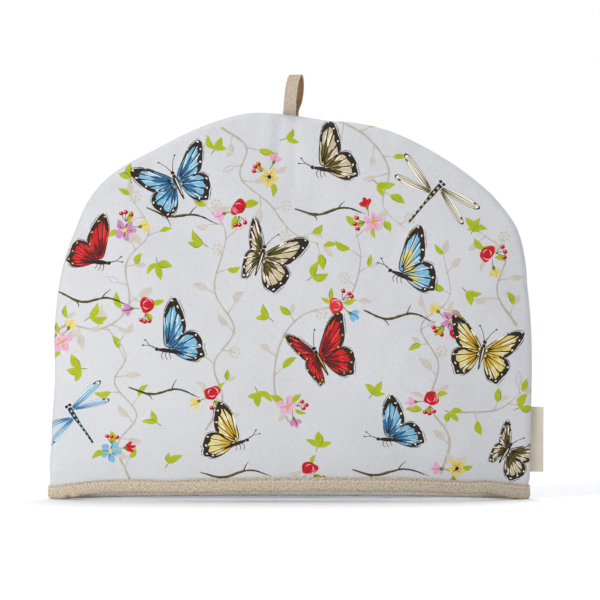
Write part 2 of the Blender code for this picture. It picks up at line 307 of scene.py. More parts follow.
def squeezed(side, x, depth, z):
    """Points of a panel as the hem leaves them: thinner, drawn in, and lifted to the hem's line."""
    fade = 1 - smooth_step(*HEM_SQUEEZE_FADE, z)
    radius = arch_radius(np.arctan2(np.abs(z), x))
    reach = np.minimum(np.hypot(x, z), radius)
    lining = lining_depth(np.minimum(1.0, reach / (radius - SEAM_BAND)))
    middle = (face_depth(reach, radius) + lining) / 2
    near_seam = np.minimum(1.0, depth / NOSE_DEPTH)
    depth = depth + (middle - depth) * HEM_SQUEEZE * fade * near_seam
    drawn_in = np.where(x > 0, 1 - smooth_step(*HEM_DRAWN_IN_FADE, z), fade)
    x = x * (1 - drawn_in * HEM_DRAWN_IN / HEM_END)
    follow = 1 - smooth_step(0, HEM_LIFT_FADE, z)
    height = z + (HEM_BOTTOM + hem_lift(side, x)) * follow
    return np.stack([x + MIDDLE_X, side * np.maximum(depth, room_in_seam(x, height)), height], axis=-1)


# Each panel is drawn on its cutting pattern, which is the front view with the rounded edge laid out.
NOSE_UNDER = math.asin(NOSE_MIDDLE / NOSE_RADIUS)
NOSE_WRAP = NOSE_RADIUS * (math.pi / 2 + NOSE_UNDER) - NOSE_RADIUS


def flat_radius(angle):
    """Distance from the middle of the hem to the seam on the cutting pattern."""
    return arch_radius(angle) + NOSE_WRAP


def across_nose(along, radius, bridged=False):
    """How far out and how deep the outside lies, for distances on the cutting pattern.

    If bridged, it goes straight back where the nose turns in towards the seam.
    """
    turn = math.pi / 2 - np.maximum(0.0, along - (radius - NOSE_RADIUS)) / NOSE_RADIUS
    bend = np.maximum(turn, 0.0) if bridged else turn
    reach = np.minimum(along, radius - NOSE_RADIUS * (1 - np.cos(bend)))
    nose = NOSE_MIDDLE + NOSE_RADIUS * np.sin(turn)
    return reach, np.where(turn > 0, face_depth(reach, radius), nose)


def plain_face(side, x, z):
    """Points of the outside for points of the cutting pattern, before its creases."""
    angle = np.arctan2(z, x)
    reach, depth = across_nose(np.hypot(x, z), arch_radius(np.abs(angle)))
    depth = depth - trough_depth(side, x, z) * np.minimum(1.0, depth / NOSE_DEPTH)
    return squeezed(side, reach * np.cos(angle), depth, reach * np.sin(angle))


# Creases, each a soft trough from one point of the pattern to another.
CREASE_COLUMNS = "x1 z1 x2 z2 width depth"
CREASES = {
    FRONT: sized(CREASE_COLUMNS, [
        (-6, 271, -10, 212, 4.5, 1.2),  # folds run down from the loop
        (5, 268, 3, 196, 4.0, 1.0),
        (-22, 268, -24, 232, 6.0, 0.6),
        (-168, 178, -140, 170, 4.5, 0.9),  # kinks at the left edge
        (-160, 200, -134, 186, 5.0, 0.8),
        (-128, 238, -112, 214, 5.5, 0.7),
        (168, 150, 146, 146, 5.5, 0.6),
        (152, 212, 132, 194, 5.0, 0.7),
        (96, 254, 84, 228, 6.0, 0.6),
        (-60, 20, -52, 52, 9.0, 0.6),
        (86, 18, 76, 46, 8.0, 0.5),
        (-150, 40, -96, 58, 12.0, 0.7),
        (60, 176, 128, 118, 16.0, 0.6),
    ]),
    BACK: sized(CREASE_COLUMNS, [
        (2, 270, 6, 206, 8.0, 1.0),
        (-120, 236, -96, 206, 6.0, 0.8),
        (150, 206, 126, 184, 6.0, 0.8),
        (-166, 120, -130, 112, 8.0, 0.7),
        (-40, 20, -30, 62, 9.0, 0.7),
        (70, 18, 92, 54, 9.0, 0.6),
        (-70, 160, 40, 120, 18.0, 0.8),
    ]),
}


def crease_depth(side, x, z):
    total = 0.0
    for row in CREASES[side]:
        start, end = np.array([row.x1, row.z1]), np.array([row.x2, row.z2])
        way = end - start
        share = ((x - start[0]) * way[0] + (z - start[1]) * way[1]) / (way @ way)
        held = np.clip(share, 0, 1)
        off = np.hypot(x - start[0] - held * way[0], z - start[1] - held * way[1])
        fading = 1 - smooth_step(0.3, 1.0, held)
        total = total + row.depth * fading * hill(off, 0.0, row.width)
    return total


# Kinds of unevenness in the panels.
BROAD, FINE, GATHER, TUCK, INSIDE = sized("height length seed", [
    (0.75, 85, 0),
    (0.22, 26, 1),
    (0.30, 15, 2),
    (0.16, 13, 3),
    (0.50, 60, 51),
], unitless=["seed"])
PANEL_SEEDS = {FRONT: 11, BACK: 31}
MEAN_RADIUS = 240 * MM
SWELLS_FROM_SEAM = (4 * MM, 26 * MM)
SWELLS_FROM_HEM = (8 * MM, 34 * MM)
GATHERS_AT = (11 * MM, 8 * MM)  # their middle and half their width, from the seam
GATHERS_FROM_SEAM = (4 * MM, 9 * MM)
TUCKS_AT = (15 * MM, 8 * MM)  # their middle and half their width, from the hem
CREASES_FROM_SEAM = (2 * MM, 8 * MM)
INSIDE_FROM_HEM = (6 * MM, 26 * MM)


def relief(side, x, z):
    """How far the cloth stands out from its plain shape: soft swells, creases and puckers."""
    angle = np.arctan2(np.abs(z), x)
    rim = flat_radius(angle) - np.hypot(x, z)
    seed = PANEL_SEEDS[side]
    swells = swell(BROAD, x, z, seed) + swell(FINE, x, z, seed)
    swells = swells * smooth_step(*SWELLS_FROM_SEAM, rim) * smooth_step(*SWELLS_FROM_HEM, z)
    beside_seam = hill(rim, *GATHERS_AT) * smooth_step(*GATHERS_FROM_SEAM, rim)
    gathers = swell(GATHER, angle * MEAN_RADIUS, 0.2 * rim, seed) * beside_seam
    tucks = swell(TUCK, x, 0.15 * z, seed) * hill(z, *TUCKS_AT)
    creases = crease_depth(side, x, z) * smooth_step(*CREASES_FROM_SEAM, rim)
    return swells + gathers + tucks - creases


def normals_of(points_at, x, z, side):
    """Outward normals of a surface given as a function of the cutting pattern."""
    step = 0.15 * MM
    across = points_at(side, x + step, z) - points_at(side, x - step, z)
    up = points_at(side, x, z + step) - points_at(side, x, z - step)
    normal = np.cross(across, up) * (-side)
    return normal / np.maximum(np.linalg.norm(normal, axis=-1, keepdims=True), 1e-12)


def face_points(side, x, z):
    """Points of the outside, creases and all, for points of the cutting pattern."""
    plain = plain_face(side, x, z)
    return plain + normals_of(plain_face, x, z, side) * relief(side, x, z)[..., None]


def lining_points(side, share, angle):
    """Points of the inside of a panel, at a share of the way from the middle of the hem."""
    reach = (arch_radius(angle) - SEAM_BAND) * share
    x, z = reach * np.cos(angle), reach * np.sin(angle)
    depth = lining_depth(share)
    soft = swell(INSIDE, x, z) * smooth_step(*INSIDE_FROM_HEM, z)
    depth = depth - (trough_depth(side, x, z) + soft) * np.minimum(1.0, depth / NOSE_DEPTH)
    return squeezed(side, x, depth, z)


# ---------------------------------------------------------------- the print: flat inked shapes

# Inks by their look on the cloth, in 8-bit display values.
INKS = {
    "lime": (172, 186, 28),
    "moss": (114, 122, 24),
    "stem": (190, 179, 167),
    "pale": (207, 198, 187),
    "red": (208, 22, 32),
    "crimson": (136, 22, 28),
    "coral": (224, 66, 60),
    "plum": (52, 34, 30),
    "mauve": (202, 138, 184),
    "pink": (234, 174, 200),
    "cream": (246, 238, 222),
    "yellow": (228, 208, 118),
    "amber": (216, 174, 64),
    "sky": (122, 184, 216),
    "mist": (196, 224, 238),
    "blue": (52, 118, 164),
    "olive": (104, 94, 40),
    "bark": (92, 70, 46),
    "umber": (44, 32, 24),
    "sand": (206, 188, 150),
}
CLOTH_SHADE = 1.12  # how much brighter the lit cloth shows than its base colour


def cloth_color(display):
    """The base colour, with its alpha, that shows as these display values in this light."""
    share = np.array(display, float) / 255
    light = np.where(share <= 0.04045, share / 12.92, ((share + 0.055) / 1.055) ** 2.4)
    return (*(light / CLOTH_SHADE), 1.0)


Shape = namedtuple("Shape", "points ink")


class Art:
    """Inked shapes on a cutting pattern, in millimetres: the later ones lie over the earlier ones."""

    def __init__(self, seed):
        self.chance = random.Random(seed)
        self.shapes = []

    def add(self, points, ink):
        self.shapes.append(Shape(np.array(points, float), ink))

    def near(self, value, share):
        return value * (1 + self.chance.uniform(-share, share))


def curve(points, closed=False, steps=4):
    """A smooth line through the given points, with `steps` points for each of them."""
    points = np.array(points, float)
    if closed:
        before, after, later = (np.roll(points, n, axis=0) for n in (1, -1, -2))
    else:
        padded = np.vstack([2 * points[0] - points[1], points, 2 * points[-1] - points[-2]])
        before, points, after, later = padded[:-3], padded[1:-2], padded[2:-1], padded[3:]
    rows = []
    for t in np.arange(steps) / steps:
        rows.append(
            points
            + (after - before) * t / 2
            + (2 * before - 5 * points + 4 * after - later) * t**2 / 2
            + (3 * points - before - 3 * after + later) * t**3 / 2
        )
    line = np.stack(rows, axis=1).reshape(-1, 2)
    return line if closed else np.vstack([line, after[-1]])


def turned(points, degrees, at=(0, 0), size=1.0):
    angle = math.radians(degrees)
    turn = np.array([[math.cos(angle), math.sin(angle)], [-math.sin(angle), math.cos(angle)]])
    return np.array(points, float) @ turn * size + np.array(at, float)


def away(at, reach, degrees):
    """The point at a distance from another in a direction."""
    return turned([(reach, 0)], degrees, at)[0]


def stroke(art, line, widths, ink, steps=4, rough=0.14):
    """A brush stroke along a line, with its widths spread evenly from its start to its end."""
    path = curve(line, steps=steps)
    share = np.linspace(0, 1, len(path))
    half = np.interp(share, np.linspace(0, 1, len(widths)), widths) / 2
    half = half * (1 + np.array([art.chance.uniform(-rough, rough) for _ in path]))
    way = np.gradient(path, axis=0)
    aside = np.stack([-way[:, 1], way[:, 0]], axis=1) / np.linalg.norm(way, axis=1)[:, None]
    left, right = path + aside * half[:, None], path - aside * half[:, None]
    art.add(np.vstack([left, right[::-1]]), ink)


def blob(art, at, size, ink, degrees=0.0, rough=0.10):
    """A rounded dab of ink with an uneven edge."""
    count = int(max(8, min(26, 2.6 * (size[0] + size[1]))))
    angle = np.arange(count) * 2 * math.pi / count
    edge = np.ones(count)
    for k in (2, 3, 5):
        edge += rough / k * 1.6 * np.cos(k * angle + art.chance.uniform(0, 2 * math.pi))
    ring = np.stack([size[0] * edge * np.cos(angle), size[1] * edge * np.sin(angle)], axis=1)
    art.add(turned(ring, degrees, at), ink)


LEAF_SHARES = np.array([0, 0.1, 0.25, 0.42, 0.6, 0.76, 0.9, 1.0])
LEAF_WIDTH = 0.44  # as a share of its length
LEAF_LENGTH = 10.5


def leaf(art, at, degrees, length, ink, line=None):
    """A broad pointed leaf from its stalk end, bent to one side, with a broken line along an edge."""
    bend = art.chance.uniform(-0.18, 0.18)
    half = art.near(LEAF_WIDTH, 0.18) / 2 * np.sin(math.pi * LEAF_SHARES**0.85) ** 0.85
    half[0] = half[-1] = 0.015
    half = half * (1 + np.array([art.chance.uniform(-0.10, 0.10) for _ in half]))
    middle = np.stack([LEAF_SHARES, bend * np.sin(math.pi * LEAF_SHARES)], axis=1)
    rise = np.stack([0 * half, half], axis=1)
    art.add(turned(np.vstack([middle + rise, (middle - rise)[::-1]]), degrees, at, length), ink)
    if line:
        side = art.chance.choice((-1, 1))
        edge = turned((middle + side * rise * 0.9)[1:6], degrees, at, length)
        stroke(art, edge, (0.25, 0.65, 0.15), line, steps=2)


def bare_leaf(art, at, degrees, length):
    """A leaf drawn as a thin outline."""
    for side in (-1, 1):
        line = [(0, 0), (0.3, 0.17 * side), (0.65, 0.15 * side), (1.0, 0.02)]
        stroke(art, turned(line, degrees, at, length), (0.35, 0.6, 0.3), "stem", steps=3)


def leaf_tuft(art, at, degrees, count):
    """A few bright leaves from one point, on a short thin stalk."""
    stalk = turned([(-4.5, 0.5), (-2, 0.3), (0, 0)], degrees, at)
    stroke(art, stalk, (0.4, 0.6, 0.5), "moss")
    for k in range(count):
        way = degrees + (k - (count - 1) / 2) * 62 + art.chance.uniform(-9, 9)
        edge = "moss" if art.chance.random() < 0.5 else None
        leaf(art, at, way, art.near(LEAF_LENGTH, 0.22), "lime", edge)


def blossom(art, at, size, petal, shade, heart):
    """An open flower of loose petals, with a few strokes on them and a dotted heart."""
    start = art.chance.uniform(0, 72)
    for k in range(5):
        way = start + 72 * k + art.chance.uniform(-9, 9)
        reach = art.near(size, 0.14)
        middle = away(at, 0.60 * reach, way)
        blob(art, middle, (0.45 * reach, 0.33 * reach), petal, way, rough=0.2)
    for k in range(4):
        way = start + 90 * k + art.chance.uniform(-20, 20)
        line = turned([(0.22, 0), (0.48, 0.06), (0.80, 0.02)], way, at, size)
        stroke(art, line, (0.14 * size, 0.10 * size, 0.03 * size), shade, steps=3)
    blob(art, at, (0.24 * size, 0.20 * size), heart, start, rough=0.2)
    for k in range(6):
        way = start + 60 * k + art.chance.uniform(-14, 14)
        blob(art, away(at, 0.36 * size, way), (0.06 * size, 0.05 * size), heart)


def side_flower(art, at, degrees, size, petal, shade):
    """A half-open flower seen from the side, three petals above its green cup."""
    for turn, reach in ((-38, 0.9), (38, 0.9), (0, 1.05)):
        middle = away(at, 0.62 * size * reach, degrees + turn)
        blob(art, middle, (0.52 * size * reach, 0.27 * size), petal, degrees + turn, rough=0.16)
    line = turned([(0.15, 0.05), (0.6, 0.10), (1.05, 0.02)], degrees, at, size)
    stroke(art, line, (0.10 * size, 0.12 * size, 0.03 * size), shade, steps=3)
    blob(art, at, (0.24 * size, 0.20 * size), "moss", degrees, rough=0.15)
    stalk = turned([(0, 0), (-0.5, 0.05), (-1.0, 0.2)], degrees, at, size)
    stroke(art, stalk, (0.9, 0.6, 0.4), "moss")


def button_flower(art, at, size, petal, heart):
    """A small round flower with a dark middle."""
    blob(art, at, (size, 0.94 * size), petal, rough=0.12)
    blob(art, at, (0.42 * size, 0.38 * size), heart, rough=0.2)
    blob(art, at + np.array([-0.12, 0.12]) * size, (0.14 * size, 0.12 * size), "cream")


def dab_flower(art, at, size, ink):
    """A pale flower of separate dabs round a middle one."""
    blob(art, at, (0.24 * size, 0.24 * size), ink)
    start = art.chance.uniform(0, 60)
    for k in range(7):
        way = start + 360 * k / 7
        blob(art, away(at, 0.70 * size, way), (0.27 * size, 0.22 * size), ink, way, 0.18)


def rosette(art, at, size, petal, shade, light):
    """A full double flower seen from the side, built from curled strokes."""
    blob(art, at, (size, 0.86 * size), petal, art.chance.uniform(0, 90), rough=0.16)
    for k, radius in enumerate((0.74, 0.48, 0.24)):
        start = art.chance.uniform(0, 360)
        for turn in (0, 130, 240):
            arc = [away(at, radius * size, start + turn + step) for step in (0, 32, 64, 92)]
            ink = light if (k + turn) % 3 == 1 else shade
            stroke(art, arc, (0.04 * size, 0.15 * size, 0.03 * size), ink, steps=3)


def berries(art, at, degrees):
    """Three round red berries on thin stalks from one point."""
    for turn in (-34, 0, 34):
        way = degrees + turn + art.chance.uniform(-6, 6)
        reach = art.near(6.0, 0.18)
        tip = away(at, reach, way)
        stroke(art, [at, turned([(reach * 0.5, 0.6)], way, at)[0], tip], (0.5, 0.45, 0.4), "bark")
        blob(art, tip, (1.75, 1.65), "red", rough=0.08)
        blob(art, tip + (0.45, -0.55), (0.9, 0.7), "crimson", rough=0.1)
        blob(art, tip + (-0.55, 0.6), (0.42, 0.34), "cream", rough=0.05)


def way_at(line, k):
    """The direction of a line at one of its points, in degrees."""
    ahead, behind = line[min(k + 1, len(line) - 1)], line[max(k - 1, 0)]
    return math.degrees(math.atan2(ahead[1] - behind[1], ahead[0] - behind[0]))


def shoot(art, foot, way, side):
    """A side shoot of a trail, ending in leaves or a pale flower."""
    reach = art.chance.uniform(4.0, 9.5)
    line = turned([(0, 0), (0.5, 0.10 * side), (1, 0.24 * side)], way, foot, reach)
    stroke(art, line, (0.9, 0.65, 0.5), "stem", steps=3)
    kind = art.chance.random()
    length = art.chance.uniform(8.5, 12.5)
    if kind < 0.40:
        leaf(art, line[-1], way + 18 * side, length, "pale", "stem" if kind < 0.14 else None)
    elif kind < 0.72:
        leaf(art, line[-1], way + 18 * side, length, "lime", "moss" if kind < 0.55 else None)
    elif kind < 0.82:
        bare_leaf(art, line[-1], way, length)
    elif kind < 0.90:
        dab_flower(art, line[-1], 4.6, "pale")
    else:
        leaf(art, line[-1], way - 28, length * 0.8, "pale")
        leaf(art, line[-1], way + 34, length * 0.9, "lime", "moss")


SHOOT_EVERY = 11.0


def trail(art, line):
    """A long thin stem with knots, and shoots on both sides by turns."""
    path = curve(line, steps=10)
    stroke(art, path[::3], (1.7, 1.3, 1.1, 0.5), "stem", steps=3, rough=0.26)
    travelled, side = art.chance.uniform(0, 6), 1
    for k in range(1, len(path) - 1):
        travelled += np.linalg.norm(path[k] - path[k - 1])
        if travelled < SHOOT_EVERY:
            continue
        travelled, side = art.chance.uniform(-3.0, 2.0), -side
        blob(art, path[k], (1.1, 0.8), "stem", way_at(path, k), rough=0.2)
        shoot(art, path[k], way_at(path, k) + side * art.chance.uniform(30, 62), side)
    end = way_at(path, len(path) - 1)
    leaf(art, path[-1], end - 26, LEAF_LENGTH, "pale")
    leaf(art, path[-1], end + 30, 9.5, "lime")


def twig(art, line):
    """A sketched twig: broken dark lines over an olive one, with short forks."""
    path = curve(line, steps=5)
    stroke(art, path[::2], (0.6, 1.9, 1.5, 0.5), "olive", steps=3, rough=0.3)
    for start, end, rise in ((0, 0.42, 0.55), (0.30, 0.78, -0.55), (0.66, 1.0, 0.35)):
        part = path[int(start * (len(path) - 1)) : int(end * (len(path) - 1)) + 1]
        stroke(art, part + (0, rise), (0.25, 0.75, 0.3), "umber", steps=2, rough=0.35)
    for k in range(4, len(path) - 2, 5):
        side = 1 if (k // 5) % 2 else -1
        way = way_at(path, k) + side * art.chance.uniform(28, 56)
        fork = turned([(0, 0), (3.4, 0.5), (art.near(7.0, 0.3), 0.2 * side)], way, path[k])
        stroke(art, fork, (1.0, 0.7, 0.3), "umber")
        stroke(art, fork[:2] + (0, 0.4), (0.5, 0.4), "olive")


# One wing of each kind on the right of the body, whose length is about 1 and runs up the page.
FOREWING = [(0.05, 0.20), (0.30, 0.50), (0.66, 0.80), (0.98, 0.90), (1.06, 0.80), (0.98, 0.56)]
FOREWING += [(0.86, 0.30), (0.70, 0.10), (0.40, 0.02), (0.14, 0.02)]
HINDWING = [(0.06, 0.06), (0.36, 0.05), (0.68, 0.04), (0.84, -0.14), (0.80, -0.38), (0.70, -0.52)]
HINDWING += [(0.60, -0.70), (0.46, -0.66), (0.32, -0.62), (0.16, -0.40)]

Colors = namedtuple("Colors", "edge field light wash spot body")
WINGS = {
    "sky": Colors("umber", "sky", "mist", "blue", "cream", "umber"),
    "sun": Colors("umber", "yellow", "cream", "amber", "cream", "plum"),
    "red": Colors("plum", "red", "coral", "crimson", "amber", "umber"),
    "wood": Colors("umber", "sand", "cream", "olive", "cream", "plum"),
    "mix": Colors("umber", "sky", "mist", "yellow", "cream", "plum"),
}
SHAPE_STEPS = 3  # points of a wing's edge for each point of its outline
# Streaks of colour from a wing's root: where they start and end, their widths and their ink.
Streak = namedtuple("Streak", "start end widths ink")
STREAKS = [
    Streak(0.42, 0.80, (0.6, 2.2, 1.2), "light"),
    Streak(0.14, 0.58, (1.0, 2.9, 0.7), "wash"),
]


def wing(art, outline, root, place, colors):
    """One wing: a dark edge, a coloured field, streaks, veins, spots and a sketched line."""
    outline = curve(outline, closed=True, steps=SHAPE_STEPS)
    uneven = 1 + np.array([art.chance.uniform(-0.014, 0.014) for _ in outline])
    root = np.array(root)
    outline = root + (outline - root) * uneven[:, None]
    art.add(place(outline), colors.edge)
    inner = root + (outline - root) * (0.83 + (uneven - 1) * 3)[:, None]
    inner = inner + (inner.mean(axis=0) - inner) * 0.05
    art.add(place(inner), colors.field)
    tips = [outline[k] for k in range(6, len(outline) - 5, 4)]
    for row in STREAKS:
        for tip in tips:
            end, aside = art.near(row.end, 0.14), art.chance.uniform(-0.03, 0.03)
            shares = (row.start, (row.start + end) / 2, end)
            line = [root + (tip - root) * share + (aside, -aside) for share in shares]
            stroke(art, place(line), row.widths, getattr(colors, row.ink), steps=3, rough=0.3)
    for tip in tips:
        line = [root + (tip - root) * share for share in (0.10, 0.45, 0.90)]
        stroke(art, place(line), (0.9, 0.5, 1.1), colors.edge, steps=3, rough=0.35)
    for tip in tips:
        spot = place([root + (tip - root) * 0.93 + (0.0, 0.035)])[0]
        size = (art.near(0.85, 0.3), 0.6)
        blob(art, spot, size, colors.spot, art.chance.uniform(0, 180), rough=0.2)
    around = root + (outline - root) * 1.05
    for start in (4, 13, 21):
        line = place(around[start : start + 6])
        stroke(art, line, (0.2, 0.5, 0.2), colors.edge, steps=2, rough=0.4)


def wing_pair(art, places, colors):
    """The hind wings and then the fore wings over them, one for each place."""
    for outline, root in ((HINDWING, (0.06, 0.02)), (FOREWING, (0.05, 0.10))):
        for place in places:
            wing(art, outline, root, place, colors)


def feeler(art, line, colors):
    """A feeler that ends in a small knob."""
    stroke(art, line, (0.55, 0.42, 0.42), colors.body)
    blob(art, line[-1], (0.75, 0.6), colors.body)


def open_butterfly(art, at, size, degrees, colors, far=1.0):
    """A butterfly from above. `far` narrows its left pair of wings, as when it is half turned."""

    def right(points):
        return turned(points, degrees, at, size)

    def left(points):
        points = np.array(points, float)
        lift = (0, (1 - far) * 0.22) * (np.abs(points[:, :1]) > 0.1)
        return right(points * (-far, 1.0) + lift)

    wing_pair(art, (left, right), colors)
    stroke(art, right([(0, 0.30), (0, 0.10), (0, -0.14), (0, -0.42)]), (2.2, 3.3, 2.6, 1.0), colors.body)
    stroke(art, right([(0.01, 0.20), (0.012, 0.0), (0.01, -0.3)]), (0.5, 0.8, 0.3), colors.spot)
    blob(art, right([(0, 0.36)])[0], (1.5, 1.35), colors.body)
    for side in (-1, 1):
        feeler(art, right([(0.02 * side, 0.40), (0.12 * side, 0.62), (0.24 * side, 0.78)]), colors)


WINGS_UP = 34  # degrees


def closed_butterfly(art, at, size, degrees, colors, facing=1):
    """A butterfly at rest with its wings held up together, seen from the side."""

    def low(points):
        return turned(np.array(points, float) * (facing, 1.0), degrees * facing, at, size)

    def high(points):
        return low(turned(points, WINGS_UP))

    wing_pair(art, (high,), colors)
    body = low([(0.34, -0.10), (0.16, -0.02), (-0.04, 0.05), (-0.22, 0.10)])
    stroke(art, body, (1.0, 2.6, 3.2, 2.0), colors.body)
    blob(art, low([(-0.27, 0.12)])[0], (1.5, 1.4), colors.body)
    for tip in ((-0.52, 0.40), (-0.60, 0.28)):
        feeler(art, low([(-0.29, 0.15), (-0.42, 0.24), tip]), colors)
    for foot in ((-0.16, -0.16), (-0.06, -0.18), (0.04, -0.17)):
        leg = low([(foot[0] + 0.03, 0.03), (foot[0] - 0.03, -0.06), foot])
        stroke(art, leg, (0.6, 0.45, 0.4), colors.body)


FLOWERS = {
    "red": ("red", "crimson", "amber"),
    "pink": ("pink", "mauve", "amber"),
    "mauve": ("mauve", "crimson", "yellow"),
    "yellow": ("yellow", "amber", "umber"),
    "blue": ("sky", "blue", "yellow"),
    "coral": ("coral", "red", "yellow"),
}


POSY_SIZE = 6.6


def posy(art, at, degrees, colors):
    """A few flowers of different kinds together, with leaves and berries round them."""
    for k in range(3):
        way = degrees + 120 * k + art.chance.uniform(-24, 24)
        ink = "pale" if k == 1 else "lime"
        leaf(art, away(at, POSY_SIZE * 0.7, way), way, art.near(9.5, 0.2), ink)
    for k, name in enumerate(colors):
        way = degrees + 150 * k + 20
        place = away(at, POSY_SIZE * (0.2 if k == 0 else 1.5), way)
        petal, shade, heart = FLOWERS[name]
        if k == 0 and name in ("red", "coral"):
            rosette(art, place, POSY_SIZE * 0.86, petal, shade, "pink")
        elif k == 0:
            blossom(art, place, art.near(POSY_SIZE * 1.12, 0.06), petal, shade, heart)
        elif k == 1:
            side_flower(art, place, way, POSY_SIZE * 0.95, petal, shade)
        else:
            button_flower(art, place, POSY_SIZE * 0.5, petal, "plum")
    berries(art, away(at, POSY_SIZE * 0.8, degrees + 250), degrees + 250)


DRAGONFLY_WING = [(0, 0), (0.3, 0.09), (0.7, 0.12), (1.0, 0.07), (1.05, 0), (0.9, -0.06)]
DRAGONFLY_WING += [(0.4, -0.07)]


def dragonfly_wing(art, on_body, way, reach, slant, colors):
    """One clear wing of a dragonfly, with a few veins and a dark spot near its tip."""
    root = turned([(0.05, 0.10)], way, (0, 0.16))[0]

    def place(points):
        return on_body(turned(points, way, root, reach))

    outline = curve(DRAGONFLY_WING, closed=True, steps=SHAPE_STEPS)
    art.add(place(outline), colors.edge)
    art.add(place(outline * 0.93 + (0.03, 0.004)), colors.light)
    for rise in (0.05, 0.0, -0.035):
        line = place([(0.06, rise / 2), (0.5, rise), (0.95, rise * 0.6)])
        stroke(art, line, (0.9, 0.5, 0.3), colors.wash, steps=3)
    blob(art, place([(0.90, 0.07)])[0], (1.3, 0.6), colors.edge, slant)


def dragonfly(art, at, size, degrees, colors):
    """A dragonfly from above: four long wings and a banded body."""

    def place(points):
        return turned(points, degrees, at, size)

    for way, reach in ((14, 1.05), (-16, 0.95), (166, 1.05), (196, 0.95)):
        dragonfly_wing(art, place, way, reach, way + degrees, colors)
    body = place([(0, 0.34), (0, 0.12), (0.01, -0.3), (0.03, -0.86)])
    stroke(art, body, (3.4, 3.4, 1.7, 1.5), colors.edge)
    for k in range(8):
        band = place([(0.0, 0.26 - 0.14 * k), (0.01, 0.20 - 0.14 * k)])
        stroke(art, band, (1.7 - 0.12 * k, 1.4 - 0.1 * k), colors.field, steps=2)
    for side in (-1, 1):
        blob(art, place([(0.05 * side, 0.40)])[0], (1.3, 1.2), colors.body)


# Where each motif goes on a panel, in millimetres from the middle of its hem.
MOTIF_COLUMNS = "kind x z size degrees look"
POSY_COLUMNS = "x z degrees colors"
TUFT_COLUMNS = "x z degrees count"

FRONT_INSECTS = named(MOTIF_COLUMNS, [
    ("open", -78, 221, 26, 24, "sky"),
    ("left", 24, 231, 27, 8, "wood"),
    ("dragon", 100, 214, 29, -42, "wood"),
    ("right", -134, 166, 26, 22, "red"),
    ("half", -20, 168, 27, -18, "wood"),
    ("left", 78, 157, 28, -6, "mix"),
    ("left", -84, 104, 28, 10, "sky"),
    ("half", 22, 98, 27, 28, "red"),
    ("open", 135, 102, 25, -14, "sun"),
    ("dragon", -150, 56, 27, 30, "sky"),
    ("right", -36, 34, 27, -4, "sun"),
    ("left", 70, 37, 27, 14, "sky"),
    ("half", 152, 30, 22, -30, "wood"),
])
FRONT_TWIGS = [
    [(-100, 205), (-84, 199), (-66, 200), (-50, 193)],
    [(4, 204), (20, 200), (38, 205), (54, 200)],
    [(-164, 147), (-146, 139), (-128, 142), (-112, 136)],
    [(52, 133), (68, 127), (86, 131), (102, 124)],
    [(-112, 79), (-96, 74), (-78, 78), (-62, 71)],
    [(-62, 13), (-46, 9), (-28, 14), (-12, 9)],
    [(44, 14), (60, 10), (80, 15), (98, 10)],
]
FRONT_TRAILS = [
    [(-172, 104), (-158, 122), (-132, 120), (-112, 136), (-114, 166), (-98, 188), (-112, 214)],
    [(-112, 8), (-120, 34), (-106, 58), (-122, 82), (-114, 102), (-130, 124)],
    [(-58, 46), (-46, 70), (-52, 96), (-38, 120), (-52, 148), (-44, 186), (-58, 206)],
    [(-48, 262), (-30, 248), (-34, 226), (-14, 208), (2, 188), (24, 178)],
    [(0, 52), (-10, 78), (-6, 110), (10, 130), (40, 140), (50, 168), (46, 192)],
    [(106, 12), (112, 40), (98, 66), (104, 96), (92, 122), (112, 142), (108, 172)],
    [(118, 60), (146, 62), (164, 76)],
    [(160, 122), (146, 146), (152, 172), (134, 188)],
    [(34, 268), (56, 254), (70, 232), (66, 206), (84, 188)],
]
FRONT_TUFTS = named(TUFT_COLUMNS, [
    (-112, 226, 118, 2),
    (-52, 246, 62, 3),
    (-2, 254, 20, 2),
    (62, 222, -30, 2),
    (130, 190, 60, 3),
    (-158, 192, 80, 2),
    (-92, 166, -70, 3),
    (-60, 180, 150, 2),
    (16, 156, 40, 2),
    (124, 146, -40, 2),
    (-146, 92, 190, 3),
    (-22, 76, -60, 2),
    (58, 74, 60, 3),
    (162, 64, 30, 2),
    (-92, 52, 150, 2),
    (20, 32, 80, 3),
    (-140, 128, 40, 2),
    (-14, 128, 150, 2),
    (112, 60, -20, 2),
    (-84, 20, 60, 2),
])
FRONT_POSIES = named(POSY_COLUMNS, [
    (-36, 204, 30, ("red", "pink")),
    (-114, 190, 200, ("mauve", "yellow")),
    (58, 196, 300, ("pink", "red")),
    (-100, 136, 20, ("red", "mauve")),
    (34, 136, 160, ("coral", "blue")),
    (112, 126, 330, ("mauve", "yellow", "red")),
    (-54, 74, 40, ("red", "yellow")),
    (0, 64, 120, ("pink", "mauve")),
    (98, 70, 20, ("red", "pink")),
    (-160, 112, 250, ("pink", "yellow")),
    (-124, 30, 200, ("blue", "red")),
    (14, 14, 60, ("red", "mauve")),
    (116, 16, 10, ("yellow", "pink")),
    (140, 172, 120, ("red", "yellow")),
    (-14, 228, 260, ("yellow", "pink")),
])
BACK_INSECTS = named(MOTIF_COLUMNS, [
    ("half", -60, 226, 26, -20, "sun"),
    ("right", 34, 226, 27, -8, "sky"),
    ("open", -132, 176, 25, 30, "wood"),
    ("left", -32, 166, 28, 6, "red"),
    ("open", 66, 164, 26, -24, "mix"),
    ("right", 138, 150, 25, 12, "wood"),
    ("right", -96, 108, 27, -10, "sky"),
    ("dragon", 12, 98, 30, 24, "sky"),
    ("left", 100, 92, 27, 4, "red"),
    ("open", -148, 44, 24, -28, "sun"),
    ("left", -54, 38, 27, 12, "wood"),
    ("right", 42, 34, 27, -6, "mix"),
    ("half", 140, 38, 25, 26, "sky"),
])
